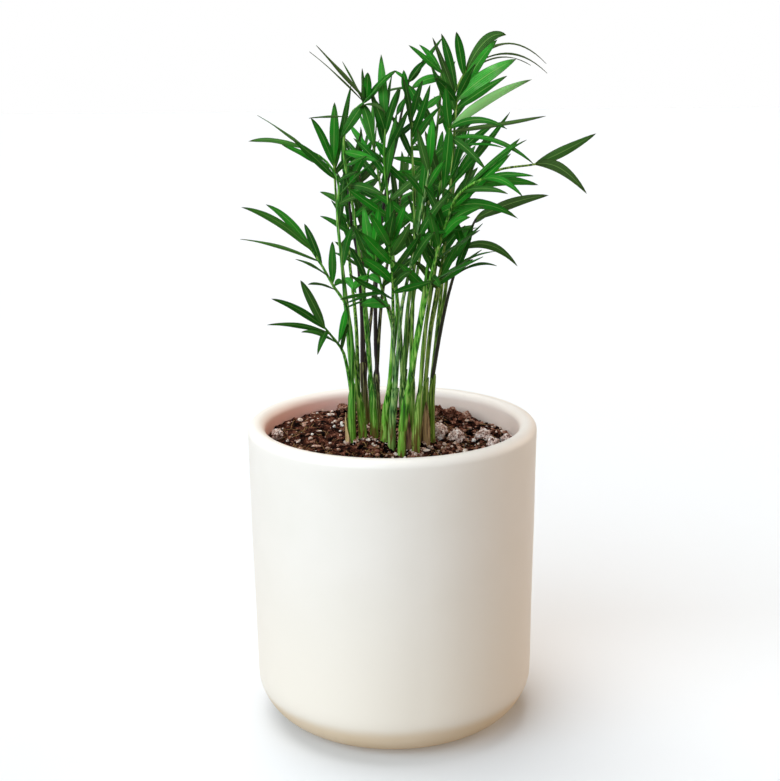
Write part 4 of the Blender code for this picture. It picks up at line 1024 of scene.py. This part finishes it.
def blade_points(leaflet, grow=0.0):
    """Rings of left edge, right edge and keel along a leaflet, and its tip."""
    rings = []
    root, control, tip = leaflet.root, leaflet.control, leaflet.tip
    for place, share in leaflet.stations:
        centre = root.lerp(control, place).lerp(control.lerp(tip, place), place)
        direction = (control.lerp(tip, place) - root.lerp(control, place)).normalized()
        side = across(direction, leaflet.up)
        up = side.cross(direction)
        half = leaflet.width * share / 2 + grow
        keel = BLADE_KEEL * (KEEL_LEAST + (1 - KEEL_LEAST) * share) * (KEEL_AT_ROOT if place == 0 else 1.0)
        middle = centre + up * (keel * KEEL_ABOVE + grow)
        lowest = centre - up * (keel * (1 - KEEL_ABOVE) + grow)
        rings.append((middle - side * half, middle + side * half, lowest))
    end = tip + (tip - control).normalized() * grow
    return rings, end


def blade_polygons(rings):
    """Triangles of a blade whose ring points are numbered in order, with the tip last."""
    faces = [(0, 2, 1)]
    for ring in range(len(rings) - 1):
        low = ring * 3
        for corner in range(3):
            after = (corner + 1) % 3
            faces.append((low + corner, low + after, low + 3 + corner))
            faces.append((low + after, low + 3 + after, low + 3 + corner))
    last = (len(rings) - 1) * 3
    tip = last + 3
    faces += [(last, last + 1, tip), (last + 1, last + 2, tip), (last + 2, last, tip)]
    return faces


def blade_tree(leaflet, grow):
    """A leaflet's points and its surface, grown by a clearance."""
    rings, end = blade_points(leaflet, grow)
    points = [point for ring in rings for point in ring] + [end]
    return points, BVHTree.FromPolygons(points, blade_polygons(rings), all_triangles=True)


def box_of(points):
    """The lowest and highest corner of some points."""
    low = [min(point[axis] for point in points) for axis in range(3)]
    high = [max(point[axis] for point in points) for axis in range(3)]
    return low, high


def boxes_meet(one, other):
    """Whether two boxes touch or overlap."""
    return all(one[0][axis] <= other[1][axis] and other[0][axis] <= one[1][axis] for axis in range(3))


def is_clear(leaflet, owner, taken):
    """Whether a leaflet, grown by the clearance, crosses nothing of another palm."""
    points, tree = blade_tree(leaflet, BLADE_CLEARANCE)
    box = box_of(points)
    for holder, other_box, other_tree in taken:
        if holder != owner and boxes_meet(box, other_box) and tree.overlap(other_tree):
            return False
    return True


def place_leaflet(leaflet, owner, taken):
    """Bend or shorten a leaflet until it is clear of the other palms, or leave it out."""
    for shrink in LEAFLET_SHRINKS:
        for shift in LEAFLET_TRIES:
            move = Vector(shift)
            tip = leaflet.root.lerp(leaflet.tip, shrink) + move
            control = leaflet.root.lerp(leaflet.control, shrink) + move * MIDDLE_FOLLOWS
            tried = leaflet._replace(tip=tip, control=control)
            if is_clear(tried, owner, taken):
                points, tree = blade_tree(tried, 0.0)
                taken.append((owner, box_of(points), tree))
                return tried
    return None


def wanted_leaflets(palm, draw):
    """Every leaflet of a palm: the reaching ones of each frond first, then those in pairs."""
    leaflets = []
    for frond in palm.fronds:
        line = stalk_line(palm, frond, TUBE_SPACING)
        leaflets += [reach_leaflet(Reach(*reach), line, frond.rib) for reach in frond.reach]
        leaflets += rule_leaflets(frond, line, draw)
    return leaflets


def place_leaflets(taken):
    """Leaflets of every palm, clear of the other palms as plain blades, before they are twisted."""
    placed = {}
    for name, palm in PALMS.items():
        draw = random.Random(SEED * 1000 + int(name[-2:]))
        tried = [place_leaflet(leaflet, name, taken) for leaflet in wanted_leaflets(palm, draw)]
        placed[name] = [leaflet for leaflet in tried if leaflet]
    return placed


# Shapes


class Draft:
    """The points, faces and marks of a piece while it is being made, in millimetres."""

    def __init__(self):
        self.points = []
        self.faces = []
        self.marks = {name: [] for name in MARKS}

    def point(self, place, side, share, tone, age=0.0):
        """Add a point with its marks, and give its number."""
        self.points.append(place)
        for name, value in zip(MARKS, (side, share, tone, age)):
            self.marks[name].append(value)
        return len(self.points) - 1

    def loft(self, rings, tone, closed=False, age=0.0):
        """Join rings of (place, across, along). A closed loft is capped, and a ring of one point is a tip."""
        rows = [[self.point(*mark, tone, age) for mark in ring] for ring in rings]
        for low, high in zip(rows, rows[1:]):
            for i in range(len(low) if closed else len(low) - 1):
                after = (i + 1) % len(low)
                if len(high) == 1:
                    self.faces.append((low[i], low[after], high[0]))
                else:
                    self.faces.append((low[i], low[after], high[after], high[i]))
        if closed:
            self.faces.append(tuple(reversed(rows[0])))
            if len(rows[-1]) > 1:
                self.faces.append(tuple(rows[-1]))

    def ball(self, place, size, draw, tone, stretch=(1, 1, 1)):
        """A rough grain: a ball with its points drawn in and out, turned at random."""
        turn = Matrix.Rotation(draw.uniform(0, 2 * math.pi), 3, UP)
        turn @= Matrix.Rotation(draw.uniform(-0.6, 0.6), 3, "X")
        first = len(self.points)
        for corner in BALL_POINTS:
            shaped = Vector([c * s for c, s in zip(corner, stretch)]) * size * draw.uniform(0.72, 1.12)
            self.point(place + turn @ shaped, 0, 0, tone)
        self.faces += [tuple(first + i for i in face) for face in BALL_FACES]

    def piece(self, name, materials, slot, nodes=(), thickness=0.0):
        """The finished object, riding on the part and standing for its solids."""
        mesh = bpy.data.meshes.new(name)
        mesh.from_pydata([place * MM for place in self.points], [], self.faces)
        for mark, values in self.marks.items():
            mesh.attributes.new(mark, "FLOAT", "POINT").data.foreach_set("value", values)
        for material in materials:
            mesh.materials.append(material)
        made = new_object(name, mesh)
        if thickness:
            thicken(made, thickness, len(materials) - 1)
        made.data.shade_smooth()
        made.data.set_sharp_from_angle(angle=SHARP)
        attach(made, "root")
        if nodes:
            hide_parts(*nodes)
        return made


def new_object(name, data):
    """An object in the scene."""
    made = bpy.data.objects.new(name, data)
    bpy.context.scene.collection.objects.link(made)
    return made


def final_mesh(made):
    """A new mesh of an object as its curve or modifiers shape it."""
    graph = bpy.context.evaluated_depsgraph_get()
    return bpy.data.meshes.new_from_object(made.evaluated_get(graph))


def thicken(piece, thickness, other_side):
    """Give a sheet its thickness, with its other face in its own material."""
    solid = piece.modifiers.new("thickness", "SOLIDIFY")
    solid.thickness = thickness * MM
    solid.offset = 0.0
    solid.material_offset = other_side
    mesh = final_mesh(piece)
    piece.modifiers.clear()
    piece.data = mesh


def unit_ball(detail):
    """The points and faces of a ball one unit in radius."""
    made = bmesh.new()
    bmesh.ops.create_icosphere(made, subdivisions=detail, radius=1.0)
    points = [vertex.co.copy() for vertex in made.verts]
    faces = [tuple(vertex.index for vertex in face.verts) for face in made.faces]
    made.free()
    return points, faces


BALL_POINTS, BALL_FACES = unit_ball(1)
ROCK_POINTS, ROCK_FACES = unit_ball(5)


def smooth_step(low, high, value):
    """How far a value is from low to high, eased at both ends."""
    share = min(1.0, max(0.0, (value - low) / (high - low)))
    return share * share * (3 - 2 * share)


def pot_outline():
    """(radius, height) from the middle of the inner floor, over the lip, to the middle of the foot."""
    lip = POT_WALL / 2
    floor_radius = inside_radius(INNER_WALL_LOW) - INNER_ROUNDING
    outline = [(1.0, POT_FLOOR)]
    outline += arc(floor_radius, INNER_WALL_LOW, INNER_ROUNDING, -90, 0, steps=8)
    outline += arc(POT_RADIUS_TOP - lip, POT_HEIGHT - lip, lip, 180, 0, steps=16)
    for step in range(1, POT_WALL_STEPS):
        share = step / POT_WALL_STEPS
        height = POT_HEIGHT - lip + (POT_ROUNDING - POT_HEIGHT + lip) * share
        outline.append((POT_RADIUS_TOP + (POT_RADIUS_LOW - POT_RADIUS_TOP) * share, height))
    outline += arc(POT_RADIUS_LOW - POT_ROUNDING, POT_ROUNDING, POT_ROUNDING, 0, -90, steps=18)
    return outline + [(1.0, 0.0)]


def build_pot():
    """The pot again with a round wall, faint throwing unevenness and the glaze's own thickness."""
    draft = Draft()
    rings = []
    for radius, height in pot_outline():
        bare = 1 - smooth_step(GLAZE_LINE - GLAZE_EDGE, GLAZE_LINE + GLAZE_EDGE, height)
        ring = []
        for step in range(POT_SIDES):
            angle = 2 * math.pi * step / POT_SIDES
            way = Vector((math.cos(angle), math.sin(angle), 0))
            uneven = noise.noise(way * UNEVEN_ROUND + UP * height / UNEVEN_UPWARDS) * POT_UNEVENNESS
            out = radius + uneven * min(1.0, height / UNEVEN_FROM) - bare * GLAZE_THICKNESS
            ring.append((way * out + UP * height, 0, 0))
        rings.append(ring)
    draft.loft(rings, 0.5, closed=True)
    return draft.piece("pot_glazed", [glazed_stoneware()], "white_glaze", ["pot"])


def soil_top(x, y):
    """Height of the soil with its clods, crumbs and grains."""
    place = Vector((x, y, 0))
    heaps = noise.noise(place / HEAP_SPACING)
    clods = noise.voronoi(place / CLOD_SPACING)[0][0]
    crumbs = noise.voronoi(place / CRUMB_SPACING + UP * 5)[0][0]
    grains = noise.fractal(place / GRAIN_SPACING, 0.7, 2.0, 3)
    return (
        soil_height(x, y) + HEAP_RISE * heaps + CLOD_RISE * (0.4 - clods)
        + CRUMB_RISE * (0.42 - crumbs) + GRAIN_RISE * grains
    )


def build_soil(material):
    """The potting mix, fine on top, with a plain underside that follows the pot."""
    edge = inside_radius(SOIL_EDGE_HEIGHT) - GAP
    floor_radius = inside_radius(INNER_WALL_LOW) - INNER_ROUNDING
    count = round(edge / SOIL_GRID)
    outline = [(edge * (ring + 1) / (count + 1), None) for ring in range(count + 1)]
    outline += arc(floor_radius, INNER_WALL_LOW, INNER_ROUNDING - GAP, 0, -90, steps=3)
    outline += [(1.0, POT_FLOOR + GAP)]
    rings = []
    for radius, height in outline:
        ring = []
        for step in range(SOIL_SIDES):
            x, y = round_point(radius, 2 * math.pi * step / SOIL_SIDES)
            ring.append((Vector((x, y, soil_top(x, y) if height is None else height)), 0, 0))
        rings.append(ring)
    draft = Draft()
    draft.loft(rings, 0.0, closed=True)
    return draft.piece("soil_bed", [material], "potting_soil", ["soil"])


def soil_places(draw, count):
    """Seeded places on the soil, a little more to the right, where the mix is coarser."""
    for _ in range(count):
        radius = (inside_radius(SOIL_EDGE_HEIGHT) - SOIL_MARGIN) * math.sqrt(draw.random())
        angle = draw.uniform(-math.pi, math.pi) * draw.choice((1, 1, 0.6))
        x, y = round_point(radius, angle)
        yield Vector((x, y, soil_top(x, y)))


def build_crumbs(material):
    """Loose crumbs and bark chips of the potting mix, crumbs heaped round each stem, and a few clods."""
    draw = random.Random(SEED + 1)
    draft = Draft()
    for place in soil_places(draw, CRUMB_COUNT):
        size = draw.uniform(0.45, 1.0) ** 3 * CRUMB_SIZE
        flat = (1, draw.uniform(0.5, 1.0), draw.uniform(0.3, 0.8))
        draft.ball(place + UP * size * 0.2, size, draw, draw.uniform(-0.2, 0.3), stretch=flat)
    for place in soil_places(draw, CHIP_COUNT):
        size = draw.uniform(*CHIP_SIZES)
        draft.ball(place + UP * 0.4, size, draw, draw.uniform(-0.1, 0.35), stretch=(1, 0.42, 0.26))
    for palm in PALMS.values():
        for _ in range(FOOT_CRUMBS):
            angle = draw.uniform(0, 2 * math.pi)
            away = palm.radius + draw.uniform(0.2, 2.2)
            x, y = round_point(away, angle, palm.foot)
            size = draw.uniform(0.5, 1.5)
            lift = draw.uniform(0.0, 2.4) / away
            draft.ball(Vector((x, y, soil_top(x, y) + lift)), size, draw, draw.uniform(-0.2, 0.4))
    # Clods painted lighter on their swells and darker in their pits: painted light and shade
    for x, y, size in CLODS:
        add_rock(draft, Vector((x, y, soil_height(x, y) + size * 0.3)), size, 0.8, 0.5, (0.12, -0.2))
    return draft.piece("soil_crumbs", [material], "potting_soil")


def build_perlite():
    """White grains of perlite half sunk in the mix, and small pebbles made of a few grains each."""
    draw = random.Random(SEED + 2)
    draft = Draft()
    for place in soil_places(draw, PERLITE_COUNT):
        size = 0.25 + 1.1 * draw.random() ** 3
        draft.ball(place + UP * size * 0.25, size, draw, draw.uniform(0.3, 1.2), stretch=(1, 0.8, 0.7))
    for x, y, size in PEBBLES:
        for _ in range(4):
            spot = Vector((x + draw.uniform(-1, 1) * size * 0.6, y + draw.uniform(-1, 1) * size * 0.6, 0))
            spot.z = soil_top(spot.x, spot.y) + size * draw.uniform(0.2, 0.9)
            draft.ball(spot, size * draw.uniform(0.4, 0.8), draw, draw.uniform(0.8, 1.3))
    return draft.piece("perlite_grains", [expanded_perlite()], "pumice")


def build_fibres():
    """Thin coconut fibres and fine roots that lie on the mix."""
    draw = random.Random(SEED + 3)
    draft = Draft()
    for start in soil_places(draw, FIBRE_COUNT):
        heading = draw.uniform(0, 2 * math.pi)
        bend = draw.uniform(-0.5, 0.5)
        radius = draw.uniform(*FIBRE_RADII)
        place = start
        line = []
        for step in range(FIBRE_STEPS):
            height = soil_top(place.x, place.y) + draw.uniform(0.1, 0.7)
            line.append(Vector((place.x, place.y, height)))
            heading += bend + draw.uniform(-0.25, 0.25)
            place = place + Vector((math.cos(heading), math.sin(heading), 0)) * draw.uniform(0.9, 2.2)
            if math.hypot(place.x, place.y) > inside_radius(SOIL_EDGE_HEIGHT) - SOIL_MARGIN:
                break
        if len(line) > 2:
            draft.loft(tube_rings(line, [radius] * len(line), 4), 0.5, closed=True)
    material = dry_fibre("coconut_fibre", "#A9814A", "#4A2E18")
    return draft.piece("coconut_fibres", [material], "dry_sheath")


def add_rock(draft, middle, size, flatness, rough, swell_and_pit_shading):
    """A lumpy, pitted ball, whose tone mark goes from its swollen places to its hollows: the materials paint
    the pits darker as painted shade, and the clods' swells lighter as painted light.
    """
    shift = middle * 0.7
    first = len(draft.points)
    for corner in ROCK_POINTS:
        swell = noise.fractal(corner * 1.6 + shift, 0.8, 2.0, 4)
        pore = 1 - smooth_step(0.12, 0.34, noise.voronoi(corner * 3.2 + shift)[0][0])
        shaped = corner * size * (1 + rough * swell - rough * 0.45 * pore)
        shaped.z *= flatness
        draft.point(middle + shaped, 0, 0, swell_and_pit_shading[0] + (swell_and_pit_shading[1] - swell_and_pit_shading[0]) * pore)
    draft.faces += [tuple(first + i for i in face) for face in ROCK_FACES]


def build_stones(material):
    """Pumice stones: the part's own stones with a frothy, pitted surface."""
    for name, (x, y, size) in PUMICE.items():
        draft = Draft()
        # Stones painted darker in their pores: painted shade
        add_rock(draft, Vector((x, y, soil_height(x, y) + size * STONE_LIFT)), size, 1.0, 0.42, (0.0, 0.3))
        draft.piece(name + "_stone", [material], "pumice", [name])


def tube_rings(line, radii, sides):
    """Rings round a line, each square to it and turned no more than the line turns."""
    rings = []
    side = UP.orthogonal()
    for i, (centre, radius) in enumerate(zip(line, radii)):
        ahead = (line[min(i + 1, len(line) - 1)] - line[max(i - 1, 0)]).normalized()
        side = (side - ahead * side.dot(ahead)).normalized()
        third = ahead.cross(side)
        ring = []
        for step in range(sides):
            angle = 2 * math.pi * step / sides
            way = side * math.cos(angle) + third * math.sin(angle)
            ring.append((centre + way * radius, step / sides, i / (len(line) - 1)))
        rings.append(ring)
    return rings


def blade_share(share):
    """A lance: the blade's width at a share of its length."""
    return max(BLADE_FOOT * (1 - share), math.sin(math.pi * share ** BLADE_LEAN) ** BLADE_FULLNESS)


def blade_rings(leaflet, draw):
    """A leaflet's sheet: an arched lance, roof-shaped across, slightly twisted and waved."""
    twist = math.radians(draw.uniform(-BLADE_TWIST, BLADE_TWIST))
    sickle = draw.uniform(-BLADE_SICKLE, BLADE_SICKLE) * (leaflet.tip - leaflet.root).length
    wave = draw.uniform(0, 2 * math.pi)
    rings = []
    for step in range(BLADE_ROWS):
        share = step / BLADE_ROWS
        near = leaflet.root.lerp(leaflet.control, share)
        far = leaflet.control.lerp(leaflet.tip, share)
        ahead = (far - near).normalized()
        side = Matrix.Rotation(twist * (share - 0.4), 3, ahead) @ across(ahead, leaflet.up)
        up = side.cross(ahead)
        centre = near.lerp(far, share) + side * sickle * share * (1 - share)
        half = leaflet.width * blade_share(share) / 2
        ring = []
        for column in range(BLADE_COLUMNS):
            mark = column / (BLADE_COLUMNS - 1) * 2 - 1
            roof = -BLADE_FOLD * half * abs(mark) ** 1.4
            ripple = BLADE_RIPPLE * half * mark * mark * math.sin(wave + 9 * share + 2 * mark)
            ring.append((centre + side * half * mark + up * (roof + ripple), mark, share))
        rings.append(ring)
    return rings + [[(leaflet.tip, 0, 1)]]


def wrap_rings(line, wrap, ragged=0.0):
    """A leaf base bent round a stem: wide at its foot, and narrowing to a tongue on its own side."""
    rings = []
    for row in range(WRAP_ROWS + 1):
        share = row / WRAP_ROWS
        arc_here = wrap.arc_low + (wrap.arc_top - wrap.arc_low) * share ** wrap.lean
        ring = []
        for column in range(WRAP_COLUMNS + 1):
            mark = column / WRAP_COLUMNS * 2 - 1
            torn = 1 + ragged * noise.noise(Vector((mark * 4, wrap.low, wrap.facing)))
            height = wrap.low + (wrap.top - wrap.low) * share * torn
            angle = math.radians(wrap.facing + arc_here / 2 * mark)
            radius = wrap.radius_low + (wrap.radius_top - wrap.radius_low) * share
            radius += WRAP_CURL * mark * mark * share
            way = Vector((math.cos(angle), math.sin(angle), 0))
            ring.append((point_at_height(line, height) + way * radius, mark, share))
        rings.append(ring)
    return rings


def leaf_look(leaflet, draw):
    """A leaflet's tone and age: broad ones are brighter, and the ones that reach out furthest are older."""
    for x, z, tone, age in NOTED_LEAFLETS:
        if math.hypot(leaflet.tip.x - x, leaflet.tip.z - z) < NOTED_WITHIN:
            return tone, age
    # Broad leaflets can reach the painted highlight at the top of the leaf ramp
    tone = 0.08 + 0.09 * (leaflet.width - 3) + 0.5 * draw.random() ** 1.3
    reach = smooth_step(OLD_FROM, OLD_BY, abs(leaflet.tip.x - CLUMP_MIDDLE))
    return tone, min(1.0, 0.6 * reach + 0.6 * draw.random() ** 4)


def build_palm(name, palm, leaflets, blade_materials):
    """A palm's cane and stalks, its green leaf bases, and its leaflets."""
    draw = random.Random(name)
    cane = stem_line(palm)
    fine_cane = even_points(cane, CANE_SPACING)
    stems = Draft()
    radii = [max(CANE_LEAST, radius) for radius in taper(fine_cane, palm.radius, STEM_RADIUS_TOP)]
    for step, share in enumerate(CANE_END, start=1):
        radii[-step] *= share
    stems.loft(tube_rings(fine_cane, radii, CANE_SIDES), 0.5, closed=True)
    bases = Draft()
    for number, frond in enumerate(palm.fronds):
        line = stalk_line(palm, frond, STALK_SPACING)
        rings = tube_rings(line, taper(line, STALK_RADIUS, RIB_TIP_RADIUS), STALK_SIDES)
        age = DARK_STALK_AGE if (name, number) in DARK_STALKS else 0.0
        stems.loft(rings, draw.random(), closed=True, age=age)
        away, _ = point_along(line, STALK_ROOT + STALK_CLEAR)
        from_cane = away - point_at_height(cane, away.z)
        facing = math.degrees(math.atan2(from_cane.y, from_cane.x))
        low = max(SOIL_SURFACE - BASE_BURIED, frond.leaves_at - draw.uniform(*BASE_LENGTHS))
        share = (low - STEM_FOOT) / (palm.stem[-1][2] - STEM_FOOT)
        radius = palm.radius + (STEM_RADIUS_TOP - palm.radius) * share + BASE_SPACE
        top = frond.leaves_at + draw.uniform(*BASE_RISES)
        tongue = STALK_RADIUS + TONGUE_SPACE
        wrap = Wrap(low, top, facing, BASE_ARC, BASE_TONGUE, BASE_LEAN, radius, tongue)
        bases.loft(wrap_rings(cane, wrap), draw.random())
    stem_skin = living_stem(f"waxy_cane_{name[-2:]}", palm.colour)
    stems.piece(name + "_stems", [stem_skin], "palm_leaf", [name])
    bases.piece(name + "_leaf_bases", [stem_skin], "palm_leaf", [name], thickness=BASE_THICKNESS)
    blades = Draft()
    for leaflet in leaflets:
        rings = blade_rings(leaflet, draw)
        tone, age = leaf_look(leaflet, draw)
        blades.loft(rings, tone, age=age)
    blades.piece(name + "_leaflets", blade_materials, "palm_leaf", [name], thickness=BLADE_THICKNESS)


def build_palms():
    """Every palm, with its leaflets along the ones that the solids have."""
    taken = []
    for name, palm in PALMS.items():
        cane = stem_line(palm)
        taken.append((name, *tube_tree(cane, taper(cane, palm.radius, STEM_RADIUS_TOP), STEM_ROUNDING)))
        for frond in palm.fronds:
            line = stalk_line(palm, frond, TUBE_SPACING)
            taken.append((name, *tube_tree(line, taper(line, STALK_RADIUS, RIB_TIP_RADIUS), STALK_ROUNDING)))
    blade_materials = [
        leaf_blade("waxy_palm_leaf", LEAF_GREENS_AND_HIGHLIGHTS, 0.42, 0.12),
        leaf_blade("matt_leaf_underside", UNDERSIDE_GREENS, 0.6, 0.16),
    ]
    for name, leaflets in place_leaflets(taken).items():
        build_palm(name, PALMS[name], leaflets, blade_materials)


def build_dry_sheaths():
    """Dead leaf bases: papery, torn at the top and standing off the cane."""
    for name, (palm_name, top, opening, colour) in SHEATHS.items():
        palm = PALMS[palm_name]
        inner = palm.radius + SHEATH_SPACE
        outer = inner + SHEATH_FLARE
        wrap = Wrap(SHEATH_FOOT, top, opening, SHEATH_ARC, SHEATH_TONGUE, SHEATH_LEAN, inner, outer)
        draft = Draft()
        draft.loft(wrap_rings(stem_line(palm), wrap, ragged=SHEATH_TEAR), 0.5)
        material = dry_fibre(name + "_fibre", mixed(colour, "#FFE9B8", 0.45), mixed(colour, "#1C0A04", 0.6))
        draft.piece(name + "_papery", [material], "dry_sheath", [name], thickness=SHEATH_THICKNESS)


def tube_tree(line, radii, rounding):
    """The space that a stem or stalk takes up in the solids: the same bevelled curve."""
    curve = bpy.data.curves.new("guide", "CURVE")
    curve.dimensions = "3D"
    curve.bevel_depth = MM
    curve.bevel_resolution = rounding
    curve.use_fill_caps = True
    spline = curve.splines.new("POLY")
    spline.points.add(len(line) - 1)
    for point, place, radius in zip(spline.points, line, radii):
        point.co = (*(place * MM), 1)
        point.radius = radius
    guide = new_object("guide", curve)
    mesh = final_mesh(guide)
    points = [vertex.co / MM for vertex in mesh.vertices]
    faces = [tuple(face.vertices) for face in mesh.polygons]
    bpy.data.objects.remove(guide, do_unlink=True)
    bpy.data.meshes.remove(mesh)
    return box_of(points), BVHTree.FromPolygons(points, faces)


# Studio


def build_floor():
    """A plain pale floor, far larger than the view. The dome's lower part stands for its bounce."""
    bpy.ops.mesh.primitive_plane_add(size=FLOOR_SIZE)
    floor = bpy.context.object
    floor.name = "floor"
    floor.visible_diffuse = False
    floor.data.materials.append(white_sweep())
    floor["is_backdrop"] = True


def add_softbox(name, azimuth, height, strength, spread, colour):
    """A far soft light. Azimuth is degrees from the front towards the right, height degrees above level."""
    lamp = bpy.data.lights.new(name, "SUN")
    lamp.energy = strength
    lamp.angle = math.radians(spread)
    lamp.color = linear(colour)[:3]
    turn, rise = math.radians(azimuth), math.radians(height)
    way = Vector((math.sin(turn) * math.cos(rise), -math.cos(turn) * math.cos(rise), math.sin(rise)))
    made = new_object(name, lamp)
    made.rotation_mode = "QUATERNION"
    made.rotation_quaternion = way.to_track_quat("Z", "Y")


def light_studio():
    """A low cool key from the left front, a steep back light, weak fills and a warm dome, dark overhead."""
    for softbox in SOFTBOXES:
        add_softbox(*softbox)
    world = bpy.data.worlds.new("studio")
    world.use_nodes = True
    tree = world.node_tree
    way = add(tree, "SeparateXYZ", inputs={0: add(tree, "TexCoord").outputs["Generated"]})
    rise = add(tree, "MapRange", SMOOTH, {0: way.outputs["Z"], 1: 0.0, 2: 0.15})
    overhead = add(tree, "MapRange", SMOOTH, {0: way.outputs["Z"], 1: 0.15, 2: 0.4})
    seen = add(tree, "LightPath").outputs["Is Camera Ray"]
    dome = DOME_BELOW
    for mask, layer in ((rise, DOME_SIDE), (overhead, DOME_TOP), (seen, (1, 1, 1, 1))):
        dome = add(tree, "Mix", COLOUR_MIX, {0: mask, 6: dome, 7: layer})
    fill(tree, tree.nodes["Background"], {"Color": dome, "Strength": DOME_STRENGTH})
    bpy.context.scene.world = world
    bpy.context.scene.view_settings.view_transform = "Standard"


def place_camera():
    """The photograph's view, fitted to the pot's rim and foot."""
    ahead = Vector((math.sin(CAMERA_YAW) * math.cos(CAMERA_PITCH),
                    math.cos(CAMERA_YAW) * math.cos(CAMERA_PITCH), -math.sin(CAMERA_PITCH)))
    right = Vector((math.cos(CAMERA_YAW), -math.sin(CAMERA_YAW), 0))
    turn = Matrix((right, right.cross(ahead), -ahead)).transposed() @ Matrix.Rotation(CAMERA_ROLL, 3, "Z")
    data = bpy.data.cameras.new("camera")
    data.sensor_width = SENSOR_WIDTH
    data.lens = CAMERA_FOCAL_PX / PHOTO_HEIGHT_PX * data.sensor_width
    camera = new_object("camera", data)
    camera.matrix_world = Matrix.Translation(Vector(CAMERA_PLACE) * MM) @ turn.to_4x4()
    bpy.context.scene.camera = camera


build_pot()
soil_mix = potting_mix()
build_soil(soil_mix)
build_crumbs(soil_mix)
build_perlite()
build_fibres()
build_stones(volcanic_pumice())
build_palms()
build_dry_sheaths()
build_floor()
light_studio()
place_camera()

boxes = {"cad": CAD_BOX, "visual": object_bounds()}
{name: [list(corner) for corner in box] for name, box in boxes.items()}
